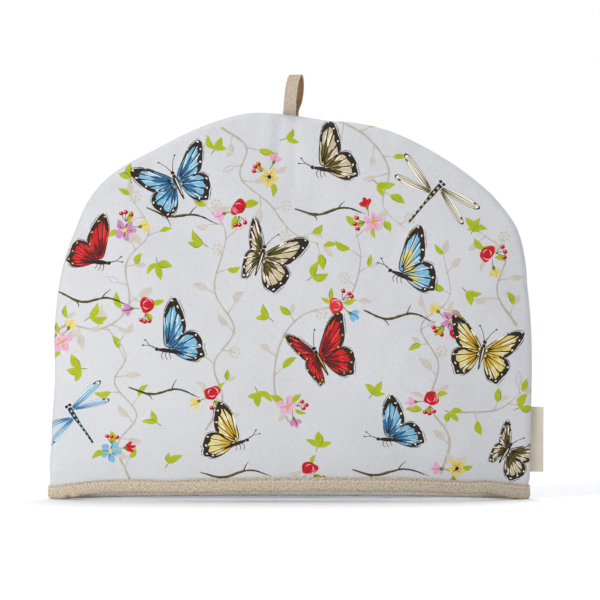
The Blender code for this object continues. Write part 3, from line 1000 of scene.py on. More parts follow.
BACK_TWIGS = [
    [(8, 202), (28, 197), (50, 201), (72, 194)],
    [(-62, 140), (-40, 134), (-16, 139), (8, 132)],
    [(-128, 82), (-106, 77), (-84, 81), (-62, 75)],
    [(72, 66), (92, 61), (116, 66), (134, 60)],
    [(-84, 12), (-62, 8), (-40, 13), (-18, 8)],
]
BACK_TRAILS = [
    [(-170, 90), (-150, 106), (-138, 132), (-150, 154)],
    [(-104, 214), (-92, 190), (-104, 164), (-84, 142), (-66, 128)],
    [(-10, 262), (-14, 236), (2, 214), (-8, 190), (12, 172), (10, 146)],
    [(-20, 20), (-14, 50), (-34, 76), (-28, 106), (-50, 120)],
    [(84, 10), (78, 40), (62, 66), (70, 96), (52, 120), (58, 136)],
    [(96, 232), (100, 206), (118, 186), (104, 160), (112, 132), (98, 118)],
    [(150, 74), (164, 98), (156, 124)],
]
BACK_TUFTS = named(TUFT_COLUMNS, [
    (-96, 238, 100, 2),
    (-20, 250, 140, 3),
    (76, 240, 40, 2),
    (-70, 186, 40, 3),
    (102, 202, -40, 2),
    (-152, 128, 60, 2),
    (-60, 152, 120, 2),
    (30, 142, -20, 3),
    (104, 136, 60, 2),
    (-126, 58, 30, 3),
    (-40, 78, 100, 2),
    (58, 70, 150, 2),
    (-6, 60, 60, 3),
    (80, 22, 40, 2),
    (-100, 32, 120, 2),
    (36, 190, 160, 3),
])
BACK_POSIES = named(POSY_COLUMNS, [
    (72, 196, 20, ("red", "pink")),
    (-94, 200, 160, ("mauve", "yellow")),
    (6, 134, 30, ("red", "mauve")),
    (-62, 76, 340, ("coral", "yellow")),
    (134, 64, 20, ("mauve", "pink")),
    (-16, 12, 60, ("red", "blue")),
    (58, 130, 100, ("yellow", "red")),
    (-152, 82, 220, ("pink", "red")),
    (100, 12, 340, ("red", "yellow")),
])
Layout = namedtuple("Layout", "seed insects twigs trails tufts posies")
LAYOUTS = {
    FRONT: Layout(5, FRONT_INSECTS, FRONT_TWIGS, FRONT_TRAILS, FRONT_TUFTS, FRONT_POSIES),
    BACK: Layout(9, BACK_INSECTS, BACK_TWIGS, BACK_TRAILS, BACK_TUFTS, BACK_POSIES),
}
HALF_TURNED = 0.5


def draw_insect(art, row):
    at, colors = (row.x, row.z), WINGS[row.look]
    if row.kind == "dragon":
        dragonfly(art, at, row.size, row.degrees, colors)
    elif row.kind in ("left", "right"):
        facing = 1 if row.kind == "left" else -1
        closed_butterfly(art, at, row.size, row.degrees, colors, facing)
    else:
        far = HALF_TURNED if row.kind == "half" else 1.0
        open_butterfly(art, at, row.size, row.degrees, colors, far)


def drawn_print(layout):
    """Every inked shape of one panel, stems first and insects last."""
    art = Art(layout.seed)
    for line in layout.trails:
        trail(art, line)
    for row in layout.tufts:
        leaf_tuft(art, (row.x, row.z), row.degrees, row.count)
    for line in layout.twigs:
        twig(art, line)
    for row in layout.posies:
        posy(art, (row.x, row.z), row.degrees, row.colors)
    for row in layout.insects:
        draw_insect(art, row)
    return art.shapes


# ---------------------------------------------------------------- panel meshes

AROUND = 240  # steps along the seam
NOSE_ROWS = 10
LINING_RINGS = 36
GRID = 3.0 * MM
PRINT_INSET = 3.0 * MM  # the print ends this far inside the seam and the hem, out of sight
ROW_PITCH = 0.866  # of the grid's rows, as a share of its steps
WELD = 0.01  # millimetres
SEAM_SHADE_REACH = (4.5 * MM, 9.5 * MM)  # how far from its seam the cloth is darkened, a painted shade
# Where the two sides of a panel lie on the unit square: their sizes and corners.
OUTSIDE_PATCH = (0.99, (0.005, 0.005))
LINING_PATCH = (0.24, (0.005, 0.80))


def within(points, ring):
    """Which points lie inside a closed ring."""
    x, z = points[:, :1], points[:, 1:]
    x1, z1 = ring.T
    x2, z2 = np.roll(ring, -1, axis=0).T
    side = (x2 - x1) * (z - z1) - (x - x1) * (z2 - z1)
    rising = (z1 <= z) & (z2 > z) & (side > 0)
    falling = (z1 > z) & (z2 <= z) & (side < 0)
    return rising.sum(axis=1) != falling.sum(axis=1)


def held_inside(points):
    """Points of the print moved to the nearest place where the cloth can show it."""
    angle = np.arctan2(np.maximum(points[:, 1], 0.0), points[:, 0])
    reach = np.hypot(points[:, 0], points[:, 1])
    most = flat_radius(angle) - PRINT_INSET
    points = points * np.minimum(1.0, most / np.maximum(reach, MM))[:, None]
    return np.stack([points[:, 0], np.maximum(points[:, 1], PRINT_INSET)], axis=1)


def polar(reach, angle):
    """Points of the cutting pattern at distances and angles from the middle of the hem."""
    return np.stack([reach * np.cos(angle), reach * np.sin(angle)], axis=1)


def seam_ring():
    """The edge of the cutting pattern: along the seam from right to left, then back along the hem."""
    angle = np.linspace(0, math.pi, AROUND + 1)
    radius = flat_radius(angle)
    share = np.linspace(0, 1, LINING_RINGS + 1)
    hem = np.concatenate([-radius[-1] * share[-2::-1], radius[0] * share[1:-1]])
    return np.vstack([polar(radius, angle), np.stack([hem, np.zeros_like(hem)], axis=1)])


def filling_points():
    """Points that let the pattern bend: rows round the nose of the seam, and an even grid."""
    angle = np.linspace(0, math.pi, AROUND + 1)[1:-1]
    rows = []
    for k in range(1, NOSE_ROWS + 1):
        reach = flat_radius(angle) - k * (NOSE_WRAP + NOSE_RADIUS) / NOSE_ROWS
        rows.append(polar(reach, angle))
    inner = flat_radius(angle).max()
    x = np.arange(-inner, inner, GRID)
    z = np.arange(GRID, inner, GRID * ROW_PITCH)
    grid_x, grid_z = np.meshgrid(x, z)
    grid_x[1::2] += GRID / 2
    grid = np.stack([grid_x.ravel(), grid_z.ravel()], axis=1)
    room = flat_radius(np.arctan2(grid[:, 1], grid[:, 0])) - np.hypot(grid[:, 0], grid[:, 1])
    return np.vstack(rows + [grid[room > NOSE_WRAP + NOSE_RADIUS + GRID / 2]])


def inked_triangles(shapes):
    """The pattern cut into triangles along every shape's edge.

    Returns its points, its triangles, which shape each shows, and the points of its own edge.
    """
    ring = seam_ring()
    rings = [ring] + [held_inside(shape.points * MM) for shape in shapes]
    starts = np.cumsum([0] + [len(row) for row in rings])
    edges = []
    for start, row in zip(starts, rings):
        edges += [(start + k, start + (k + 1) % len(row)) for k in range(len(row))]
    points = np.vstack(rings + [filling_points()]) / MM
    cut = delaunay_2d_cdt([Vector(point) for point in points], edges, [], 0, WELD, True)
    flat = np.array([(point.x, point.y) for point in cut[0]]) * MM
    faces = np.array(cut[2])
    middles = flat[faces].mean(axis=1)
    kept = within(middles, ring)
    faces, middles = faces[kept], middles[kept]
    made_from = {old: new for new, olds in enumerate(cut[3]) for old in olds}
    rim = [made_from[k] for k in range(len(ring))]
    ink = np.full(len(faces), -1)
    for k, row in enumerate(rings[1:]):
        boxed = (middles >= row.min(axis=0)) & (middles <= row.max(axis=0))
        near = np.flatnonzero(boxed.all(axis=1))
        ink[near[within(middles[near], row)]] = k
    return flat, faces, ink, rim


def lining_grid():
    """Shares and angles of the lining's points: the middle of the hem, then ring after ring."""
    share, angle = [0.0], [0.0]
    for ring in range(1, LINING_RINGS + 1):
        share += [ring / LINING_RINGS] * (AROUND + 1)
        angle += list(np.linspace(0, math.pi, AROUND + 1))
    return np.array(share), np.array(angle)


def lining_faces(first):
    """Faces of the lining, whose points start at index `first`, and the points of its edge."""

    def at(ring, k):
        return first if ring == 0 else first + 1 + (ring - 1) * (AROUND + 1) + k

    faces = [(first, at(1, k + 1), at(1, k)) for k in range(AROUND)]
    for ring in range(1, LINING_RINGS):
        for k in range(AROUND):
            faces.append((at(ring, k), at(ring, k + 1), at(ring + 1, k + 1), at(ring + 1, k)))
    edge = [at(LINING_RINGS, k) for k in range(AROUND + 1)]
    edge += [at(ring, AROUND) for ring in range(LINING_RINGS - 1, 0, -1)] + [first]
    edge += [at(ring, 0) for ring in range(1, LINING_RINGS)]
    return faces, edge


def panel_mesh(name, side):
    """One padded panel: printed outside, plain lining, and the edges that join them."""
    shapes = drawn_print(LAYOUTS[side])
    flat, triangles, ink, rim = inked_triangles(shapes)
    outside = face_points(side, flat[:, 0], flat[:, 1])
    normal = normals_of(face_points, flat[:, 0], flat[:, 1], side)
    share, angle = lining_grid()
    lining = lining_points(side, share, angle)
    reach = (arch_radius(angle) - SEAM_BAND) * share
    inner, edge = lining_faces(len(flat))
    bridge = list(zip(rim, rim[1:] + rim[:1], edge[1:] + edge[:1], edge))
    faces = [tuple(face) for face in triangles] + inner + bridge
    mesh = bpy.data.meshes.new(name)
    mesh.from_pydata(np.vstack([outside, lining]).tolist(), [], faces)
    lay_print(mesh, shapes, ink)
    lay_painted_seam_shade(mesh, flat, len(lining))
    lay_patterns(mesh, np.vstack([flat, polar(reach, angle)]), len(triangles))
    one_way_out(mesh)
    mesh.shade_smooth()
    smooth = np.vstack([normal, np.zeros_like(lining)])
    smooth[rim] = 0
    mesh.normals_split_custom_set_from_vertices(smooth)
    return mesh


def lay_print(mesh, shapes, ink):
    """The ink of each outer triangle as a colour, with alpha 0 where the cloth is bare."""
    layer = mesh.color_attributes.new("print", "FLOAT_COLOR", "CORNER")
    colors = np.zeros((len(mesh.loops), 4), np.float32)
    by_shape = np.array([cloth_color(INKS[shape.ink]) for shape in shapes])
    inked = np.flatnonzero(ink >= 0)
    for corner in range(3):
        colors[inked * 3 + corner] = by_shape[ink[inked]]
    layer.data.foreach_set("color", colors.ravel())


def lay_painted_seam_shade(mesh, flat, others):
    """How much painted shade along the seam each point gets, for the cloth's material."""
    rim = flat_radius(np.arctan2(flat[:, 1], flat[:, 0])) - np.hypot(flat[:, 0], flat[:, 1])
    tone = np.append(1 - smooth_step(*SEAM_SHADE_REACH, rim), np.zeros(others))
    mesh.attributes.new("seam", "FLOAT", "POINT").data.foreach_set("value", tone.astype(np.float32))


def at_corners(mesh, by_point):
    """Values of the points as values of the faces' corners."""
    corners = np.empty(len(mesh.loops), np.int32)
    mesh.loops.foreach_get("vertex_index", corners)
    return by_point[corners]


def add_uv(mesh, name, places):
    mesh.uv_layers.new(name=name).data.foreach_set("uv", np.array(places, np.float32).ravel())


def lay_patterns(mesh, pattern, printed):
    """Two UV maps: the cloth in metres for its weave, and one that fits the unit square."""
    flat = at_corners(mesh, pattern)
    add_uv(mesh, "cloth", flat)
    low, high = pattern.min(axis=0), pattern.max(axis=0)
    square = (flat - low) / (high - low).max()
    for part, (size, corner) in (
        (slice(0, printed * 3), OUTSIDE_PATCH),
        (slice(printed * 3, None), LINING_PATCH),
    ):
        square[part] = square[part] * size + corner
    add_uv(mesh, "OFBake", square)


def one_way_out(mesh):
    """Turn every face outwards."""
    bm = bmesh.new()
    bm.from_mesh(mesh)
    bmesh.ops.recalc_face_normals(bm, faces=bm.faces)
    bm.to_mesh(mesh)
    bm.free()


# ---------------------------------------------------------------- materials

THREAD_PITCH = 0.55 * MM
BIAS_PITCH = 0.62 * MM
RIB_PITCH = 1.8 * MM
LABEL_PITCH = 0.40 * MM
TWIST_PITCH = 0.42 * MM

# Tints of the cloths by their look, in 8-bit display values.
TINTS = {
    "cotton": (222, 223, 226),
    "cotton light": (227, 227, 228),
    "cotton shade": (188, 191, 198),
    # painted shade along the seam
    "seam": (92, 98, 112),
    "bias": (202, 184, 156),
    "bias light": (212, 195, 171),
    "bias dark thread": (170, 150, 120),
    "bias pale thread": (226, 216, 202),
    # painted shade of the binding: in its folds, in the groove of its stitches and under its foot
    "bias painted shade": (158, 126, 96),
    "bias fleck": (148, 125, 98),
    "bias glint": (234, 222, 202),
    "loop": (212, 196, 177),
    "loop light": (224, 209, 192),
    "loop rib": (156, 140, 120),
    # painted shade inside the loop and along the top of its turn
    "loop inside shade": (168, 122, 68),
    "loop fleck": (150, 130, 108),
    "loop glint": (244, 236, 224),
    "label": (218, 208, 189),
    "label light": (229, 220, 202),
    "label fleck": (196, 184, 160),
    "thread": (244, 235, 218),
    "thread shade": (208, 194, 173),
}


def rgba(tint):
    return cloth_color(TINTS[tint])


class Graph:
    """A material's nodes, with short ways to add and join them."""

    def __init__(self, name, sheen, roughness):
        self.material = bpy.data.materials.new(name)
        self.material.use_nodes = True
        self.nodes = self.material.node_tree.nodes
        self.shader = self.nodes["Principled BSDF"]
        self.shader.inputs["Roughness"].default_value = roughness
        self.shader.inputs["Sheen Weight"].default_value = sheen
        self.shader.inputs["Sheen Roughness"].default_value = 0.5
        self.shader.inputs["Specular IOR Level"].default_value = 0.18

    def add(self, kind, values, **settings):
        node = self.nodes.new(kind)
        for key, value in settings.items():
            setattr(node, key, value)
        for key, value in values.items():
            self.feed(node.inputs[key], value)
        return node

    def feed(self, socket, value):
        if isinstance(value, bpy.types.NodeSocket):
            self.material.node_tree.links.new(value, socket)
        else:
            socket.default_value = value

    def math(self, operation, first, second=0.0):
        return self.add("ShaderNodeMath", {0: first, 1: second}, operation=operation).outputs[0]

    def mix(self, share, first, second, blend="MIX"):
        values = {0: share, 6: first, 7: second}
        return self.add("ShaderNodeMix", values, data_type="RGBA", blend_type=blend).outputs[2]

    def attribute(self, name):
        return self.add("ShaderNodeAttribute", {}, attribute_name=name).outputs

    def cloth_place(self, degrees=0):
        uv = self.add("ShaderNodeUVMap", {}, uv_map="cloth").outputs[0]
        if not degrees:
            return uv
        turn = (0.0, 0.0, math.radians(degrees))
        return self.add("ShaderNodeMapping", {0: uv, 2: turn}).outputs[0]

    def noise(self, place, per_metre, detail=2.0, low=0.0, high=1.0):
        """A noise between low and high, whose swells are about 1 / per_metre across."""
        values = {"Vector": place, "Scale": per_metre, "Detail": detail, "Roughness": 0.55}
        made = self.add("ShaderNodeTexNoise", values).outputs[0]
        return self.spread(made, 0.3, 0.7, low, high)

    def streaks(self, place, along, across, high):
        """A noise drawn out to `along` one way and `across` the other, as uneven threads are."""
        drawn = self.add("ShaderNodeMapping", {0: place, 3: (1 / along, 1 / across, 1.0)}).outputs[0]
        return self.noise(drawn, 1.0, detail=1.0, high=high)

    def spread(self, value, from_low, from_high, low, high):
        values = {0: value, 1: from_low, 2: from_high, 3: low, 4: high}
        return self.add("ShaderNodeMapRange", values).outputs[0]

    def threads(self, place, pitch, parts=("X", "Y")):
        """Waves of thread along each named direction, between -1 and 1."""
        split = self.add("ShaderNodeSeparateXYZ", {0: place})
        turn = 2 * math.pi / pitch
        return [
            self.math("SINE", self.math("MULTIPLY", split.outputs[part], turn)) for part in parts
        ]

    def weave(self, place, pitch):
        """Threads over and under each other, between -1 and 1."""
        return self.math("MULTIPLY", *self.threads(place, pitch))

    def ground(self, place, per_metre, name, detail=3.0):
        """The cloth's own colour, which drifts between its tint and its light one."""
        drift = self.noise(place, per_metre, detail=detail)
        return self.mix(drift, rgba(name), rgba(name + " light"))

    def bump(self, height, strength, distance, normal=None):
        values = {"Height": height, "Strength": strength, "Distance": distance}
        if normal is not None:
            values["Normal"] = normal
        return self.add("ShaderNodeBump", values).outputs[0]

    def finish(self, color, normal):
        self.feed(self.shader.inputs["Base Color"], color)
        self.feed(self.shader.inputs["Normal"], normal)
        return self.material


def soaked_ink(graph, place, mark):
    """The print's colour, washed out in places and pooled in others."""
    wash = graph.noise(place, 210.0, detail=4.0, high=0.30)
    ink = graph.mix(wash, mark["Color"], graph.mix(1.0, mark["Color"], mark["Color"], "SCREEN"))
    pool = graph.noise(place, 95.0, detail=3.0, high=0.22)
    return graph.mix(pool, ink, graph.mix(1.0, ink, ink, "MULTIPLY"))


def printed_cotton():
    """Plain-woven cotton with the print soaked into its threads."""
    graph = Graph("printed_cotton", sheen=0.02, roughness=0.9)
    place = graph.cloth_place()
    weave = graph.weave(place, THREAD_PITCH)
    slub = graph.noise(place, 900.0, detail=3.0, low=-0.5, high=0.5)
    ground = graph.ground(place, 26.0, "cotton", detail=2.0)
    shade = rgba("cotton shade")
    ground = graph.mix(graph.streaks(place, 4.2 * MM, 0.8 * MM, 0.18), ground, shade)
    ground = graph.mix(graph.streaks(place, 0.8 * MM, 4.2 * MM, 0.18), ground, shade)
    ground = graph.mix(graph.noise(place, 640.0, detail=1.0, high=0.16), ground, shade)
    mark = graph.attribute("print")
    ink = soaked_ink(graph, place, mark)
    thin = graph.noise(place, 1250.0, high=0.025)
    missed = graph.math("MULTIPLY", thin, mark["Alpha"])
    color = graph.mix(graph.math("SUBTRACT", mark["Alpha"], missed), ground, ink)
    # Painted shade along the seam: darker towards it, in the seam tint.
    seam = graph.math("MULTIPLY", graph.attribute("seam")["Fac"], 0.13)
    color = graph.mix(seam, color, rgba("seam"))
    height = graph.math("ADD", graph.math("MULTIPLY", weave, 0.5), slub)
    soft = graph.bump(graph.noise(place, 240.0, detail=3.0), 0.30, 0.40 * MM)
    return graph.finish(color, graph.bump(height, 0.30, 0.10 * MM, soft))


def bias_cotton():
    """Plain cotton cut on the bias, so its threads run slantwise."""
    graph = Graph("binding_cotton", sheen=0.15, roughness=0.88)
    place = graph.cloth_place(degrees=45)
    weave = graph.weave(place, BIAS_PITCH)
    color = graph.ground(place, 60.0, "bias")
    for share, tint in (
        (graph.streaks(place, 5 * MM, 1.1 * MM, 0.36), "bias dark thread"),
        (graph.streaks(place, 1.1 * MM, 4 * MM, 0.34), "bias pale thread"),
        # painted shade: in the tape's folds, along the groove of its stitches and under its foot
        (graph.attribute("tone")["Fac"], "bias painted shade"),
        (graph.noise(place, 900.0, high=0.92), "bias fleck"),
        (graph.noise(place, 760.0, high=0.86), "bias glint"),
    ):
        color = graph.mix(share, color, rgba(tint))
    lifted = graph.math("ADD", weave, graph.noise(place, 800.0, low=-0.6, high=0.6))
    drawn = graph.bump(graph.streaks(place, 9 * MM, 2.0 * MM, 1.0), 0.42, 0.45 * MM)
    return graph.finish(color, graph.bump(lifted, 0.42, 0.12 * MM, drawn))


def loop_tape():
    """Ribbed beige tape, with painted brown shade on the face turned into the loop and along the top of
    its turn.
    """
    graph = Graph("loop_tape", sheen=0.15, roughness=0.86)
    place = graph.cloth_place()
    split = graph.add("ShaderNodeSeparateXYZ", {0: place})
    slant = graph.math("PINGPONG", split.outputs["Y"], LOOP_WIDTH / 4)
    along = graph.math("ADD", split.outputs["X"], slant)
    ribs = graph.math("SINE", graph.math("MULTIPLY", along, 2 * math.pi / RIB_PITCH))
    color = graph.ground(place, 120.0, "loop")
    for share, tint in (
        (graph.spread(ribs, -1.0, 1.0, 0.0, 0.72), "loop rib"),
        # painted shade: brown inside the loop and along the top of its turn
        (graph.attribute("tone")["Fac"], "loop inside shade"),
        (graph.streaks(place, 2.4 * MM, 1.0 * MM, 0.46), "loop fleck"),
    ):
        color = graph.mix(share, color, rgba(tint))
    glint = graph.noise(place, 520.0, high=0.34)
    color = graph.mix(glint, color, graph.mix(0.5, color, rgba("loop glint")))
    return graph.finish(color, graph.bump(ribs, 0.45, 0.15 * MM))


def label_tape():
    """Bare cotton tape."""
    graph = Graph("label_tape", sheen=0.18, roughness=0.7)
    place = graph.cloth_place()
    along, across = graph.threads(place, LABEL_PITCH)
    across, along = graph.math("MULTIPLY", across, 0.6), graph.math("MULTIPLY", along, 0.3)
    color = graph.ground(place, 90.0, "label")
    fleck = graph.noise(place, 1500.0, high=0.12)
    color = graph.mix(fleck, color, rgba("label fleck"))
    return graph.finish(color, graph.bump(graph.math("ADD", across, along), 0.30, 0.08 * MM))


def sewing_thread():
    """Twisted cream thread."""
    graph = Graph("cream_thread", sheen=0.2, roughness=0.6)
    twist = graph.threads(graph.cloth_place(degrees=30), TWIST_PITCH, parts=("X",))[0]
    shade = graph.spread(twist, -1.0, 1.0, 0.0, 0.35)
    color = graph.mix(shade, rgba("thread"), rgba("thread shade"))
    return graph.finish(color, graph.bump(twist, 0.5, 0.1 * MM))


def pale_floor():
    """The studio floor."""
    graph = Graph("pale_floor", sheen=0.0, roughness=0.75)
    place = graph.add("ShaderNodeTexCoord", {}).outputs["Object"]
    color = graph.mix(graph.noise(place, 3.0), (0.93, 0.93, 0.935, 1), (0.95, 0.95, 0.95, 1))
    return graph.finish(color, graph.bump(graph.noise(place, 60.0), 0.02, MM))


# ---------------------------------------------------------------- binding and stitches

HEM_STATIONS = 800  # along each side, before they are spaced evenly
STITCH_PITCH = 2.9 * MM
STITCH_LENGTH = 2.25 * MM
STITCH_DIP = 0.3 * MM  # how far its ends sink in
STITCH_UNEVEN = 0.12 * MM  # how far the stitches lie above or below their line
UNEVEN_STEP = 2.4  # radians from one stitch to the next
THREAD_RADIUS = 0.33 * MM
THREAD_HALF = (0.27 * MM, 0.46 * MM)  # half its thickness, out from the tape and up it
STEPS_PER_STITCH = 3
STITCH_SIDES = 6
# A stitch: share of its length from its middle, and share of its thickness.
STITCH_SHAPE = mirrored([(0.18, 1.0), (0.40, 0.72), (0.5, 0.10)])
Seam = namedtuple("Seam", "off height")
OUTER_SEAM = Seam(1.52 * MM, 7.1 * MM)
INNER_SEAM = Seam(1.46 * MM, 7.0 * MM)

# Lines of the tape's section, with the painted shade on each: in the fold of its top edge, in the groove
# drawn in by the stitches, and under its foot.
BINDING_SECTION = sized("kind off height tone", [
    ("outside", 0.16, 8.95, 0.5),  # folded top edge, drawn in to the cloth
    ("outside", 0.50, 9.22, 0.2),
    ("outside", 0.95, 9.26, 0.0),
    ("outside", 1.34, 9.04, 0.0),
    ("outside", 1.38, 8.72, 0.4),
    ("outside", 1.05, 8.36, 1.2),  # drawn in by the stitches
    ("outside", 1.22, 7.96, 0.8),
    ("outside", 1.42, 7.60, 0.0),
    ("outside", 1.56, 6.90, 0.0),
    ("outside", 1.74, 6.20, 0.0),
    ("outside", 1.86, 5.20, 0.0),
    ("outside", 1.93, 4.10, 0.0),
    ("outside", 1.96, 3.00, 0.05),
    ("outside", 1.94, 2.00, 0.30),
    ("outside", 1.80, 1.05, 0.50),
    ("outside", 1.40, 0.38, 0.6),
    ("outside", 0.60, 0.06, 0.7),
    ("outside", -0.90, 0.00, 0.5),
    ("lining", -0.90, 0.00, 0.2),
    ("lining", 0.60, 0.06, 0.0),
    ("lining", 1.30, 0.38, 0.0),
    ("lining", 1.62, 1.05, 0.0),
    ("lining", 1.74, 2.20, 0.0),
    ("lining", 1.72, 4.20, 0.0),
    ("lining", 1.60, 6.00, 0.0),
    ("lining", 1.32, 7.00, 0.0),
    ("lining", 1.46, 7.80, 0.0),
    ("lining", 1.20, 8.25, 0.0),
    ("lining", 0.70, 8.32, 0.0),
    ("lining", 0.24, 8.05, 0.0),
    ("lining", 0.5, 6.50, 0.2),
    ("lining", 0.5, 1.20, 0.4),
    ("outside", 0.5, 1.20, 0.4),
    ("outside", 0.5, 7.40, 0.2),
], unitless=["kind", "tone"])
PLAIN_HEIGHT = 7.5 * MM  # above it the painted shade is broken up by the stitches, darker between them
LEAST_DASH, MOST_DASH = 0.2, 1.2

# Unevenness of the tape along the hem: out from the cloth, and up it.
RIPPLE, FINE_RIPPLE, RISE, FOOT_RISE = sized("height length seed", [
    (0.16, 21, 71),
    (0.07, 7, 72),
    (0.22, 30, 73),
    (0.30, 14, 74),
], unitless=["seed"])
DASH_LENGTH, DASH_SEED = 9 * MM, 75
RISE_FROM = 6 * MM
FOOT_BELOW = 3 * MM
DIMPLE_DEPTH = 0.12 * MM
DIMPLE_HALF = 0.9 * MM

FOLD_SHOWS = (-60 * MM, 96 * MM, 30 * MM)  # where the folded edge stands above the stitching
FOLD_RISE = 0.75 * MM
FOLD_FROM = 8.5 * MM
Dent = namedtuple("Dent", "side x slant half_width depth")
DENTS = [
    Dent(BACK, 92 * MM, -1.0, 0.9 * MM, 0.35 * MM),  # where the tape's two ends join
    Dent(FRONT, -154.5 * MM, 0.4, 1.2 * MM, 0.5 * MM),
]
NOTCH_X = -155 * MM  # where the foot is nicked, below the front's dent
NOTCH_HALF = 2.2 * MM
NOTCH_RISE = 1.1 * MM
NOTCH_BELOW = 1.5 * MM
END_PINCH = (150 * MM, 168 * MM)  # where the binding is drawn tight round the corners
PINCH_FADE = 1.2 * MM  # how far out from the panel's gap it grows to its full strength
PINCH_IN, PINCH_IN_AT_FOOT = 0.5 * MM, 0.6 * MM
FULL_FOLDS = sized("x width rise", [
    (-156, 7, 1.2),
    (161, 11, 1.4),
])
FOOT_CURL = (160 * MM, 170 * MM)  # where the foot of the binding curls in, round the corners
CURLS = sized("height inwards", [
    (0.0, 1.6),
    (0.4, 1.3),
    (1.05, 0.6),
    (2.0, 0.0),
])
CURL_AT_RIGHT = 0.5  # as a share of the left corner's

# The hem's stations: whether each is in front, where it is, and the cloth's two sides there in plan
# with the ways that lead out from them. The pitch is that of the stitches.
Ring = namedtuple("Ring", "front x along pitch outside lining out_way in_way")


def hem_plan(side, x):
    """The panel's outside at its hem, in plan, with the valley of the side seam bridged."""
    radius = arch_radius(np.where(x < 0, math.pi, 0.0))
    reach, depth = across_nose(np.abs(x), radius, bridged=True)
    return squeezed(side, np.sign(x) * reach, np.maximum(depth, 0.0), np.zeros_like(x))[:, :2]


def hem_lines():
    """The outside and the lining at the hem, in plan, and the side of each station.

    They go from the left end along the front, and back along the back.
    """
    left, right = flat_radius(np.array([math.pi, 0.0]))
    outside, lining, sides = [], [], []
    for side, start, end in ((FRONT, -left, right), (BACK, right, -left)):
        x = np.linspace(start, end, HEM_STATIONS, endpoint=False)
        share = np.abs(x) / np.where(x < 0, left, right)
        outside.append(hem_plan(side, x))
        lining.append(lining_points(side, share, np.where(x < 0, math.pi, 0.0))[:, :2])
        sides += [side] * HEM_STATIONS
    return np.vstack(outside), np.vstack(lining), sides


def unit(ways):
    return ways / np.linalg.norm(ways, axis=1, keepdims=True)


def hem_ring():
    """Even stations round the hem, a few to each stitch."""
    outside, lining, sides = hem_lines()
    gaps = np.linalg.norm(np.roll(outside, -1, axis=0) - outside, axis=1)
    travelled = np.concatenate([[0], np.cumsum(gaps)])
    length = travelled[-1]
    stitches = round(length / STITCH_PITCH)
    along = np.arange(stitches * STEPS_PER_STITCH) * length / (stitches * STEPS_PER_STITCH)

    def evenly(values):
        return np.interp(along, travelled, np.append(values, values[0]))

    outside = np.stack([evenly(outside[:, 0]), evenly(outside[:, 1])], axis=1)
    lining = np.stack([evenly(lining[:, 0]), evenly(lining[:, 1])], axis=1)
    front = evenly(sides) < 0
    ahead = np.roll(outside, -1, axis=0) - np.roll(outside, 1, axis=0)
    out_way = unit(np.stack([ahead[:, 1], -ahead[:, 0]], axis=1))
    middle = lining[:, 0] - MIDDLE_X
    room = 1 - smooth_step(0.75, 1.0, np.abs(middle) / (HEM_END - SEAM_BAND))
    across = np.where(front, -FRONT, -BACK) * room
    in_way = unit(np.stack([-np.sign(middle) * (1 - room), across], axis=1))
    x = outside[:, 0] - MIDDLE_X
    return Ring(front, x, along, length / stitches, outside, lining, out_way, in_way)


def hem_height(ring, plan, height):
    """Heights over plan positions of points given by their height above the hem's own line."""
    lift = np.where(ring.front, hem_lift(FRONT, plan[:, 0] - MIDDLE_X), 0.0)
    return height + lift


def holes(ring):
    """One where the thread goes in, between two stitches, and minus one along their middles."""
    return np.cos(2 * math.pi * ring.along / ring.pitch)


def binding_sway(ring, height):
    """How much the folded tape stands out unevenly: ripples, dimples at the holes, and dents."""
    sway = swell(RIPPLE, ring.along, height) + swell(FINE_RIPPLE, ring.along, height)
    dimples = (0.5 + 0.5 * holes(ring)) * hill(height, OUTER_SEAM.height, DIMPLE_HALF)
    sway = sway - DIMPLE_DEPTH * dimples
    for row in DENTS:
        here = ring.front == (row.side == FRONT)
        sway = sway - row.depth * here * hill(ring.x, row.x + row.slant * height, row.half_width)
    return sway


def full_fold(ring, height):
    """How much higher the tape stands beside the front corners, where it is folded fuller."""
    rise = sum(row.rise * hill(ring.x, row.x, row.width) for row in FULL_FOLDS)
    return rise * ring.front * height / BINDING_HEIGHT


def foot_curl(ring, height):
    """How far the foot of the tape is in from a plain fold, round the corners."""
    corner = smooth_step(*FOOT_CURL, np.abs(ring.x)) * np.where(ring.x < 0, 1.0, CURL_AT_RIGHT)
    return corner * np.interp(height, [row.height for row in CURLS], [row.inwards for row in CURLS])


def pinched(ring, off, height):
    """A distance of the binding out from the cloth, less where it is tight round the corners."""
    tight = smooth_step(*END_PINCH, np.abs(ring.x))
    loose = np.clip((off - HEM_GAP) / PINCH_FADE, 0, 1)
    at_foot = 1 - smooth_step(0, FOOT_BELOW, height)
    return off - tight * loose * (PINCH_IN + PINCH_IN_AT_FOOT * at_foot)


def binding_off(ring, row):
    """How far out from the panel one line of the tape's section lies, all round."""
    off = row.off
    if row.kind == "outside":
        off = pinched(ring, off, row.height) - foot_curl(ring, row.height)
    if row.off > HEM_GAP:
        off = off + binding_sway(ring, row.height)
    return off


def binding_rise(ring, row):
    """How much higher than its section one line of the tape runs, all round."""
    rise = swell(RISE, ring.along) * (row.height > RISE_FROM)
    rise = rise + swell(FOOT_RISE, ring.along) * (row.height < FOOT_BELOW)
    notch = hill(ring.x, NOTCH_X, NOTCH_HALF) * ring.front
    rise = rise + NOTCH_RISE * notch * (row.height < NOTCH_BELOW)
    if row.kind == "lining":
        return rise
    fold = window(*FOLD_SHOWS, ring.x) * (row.height > FOLD_FROM)
    return rise + FOLD_RISE * fold + full_fold(ring, row.height)


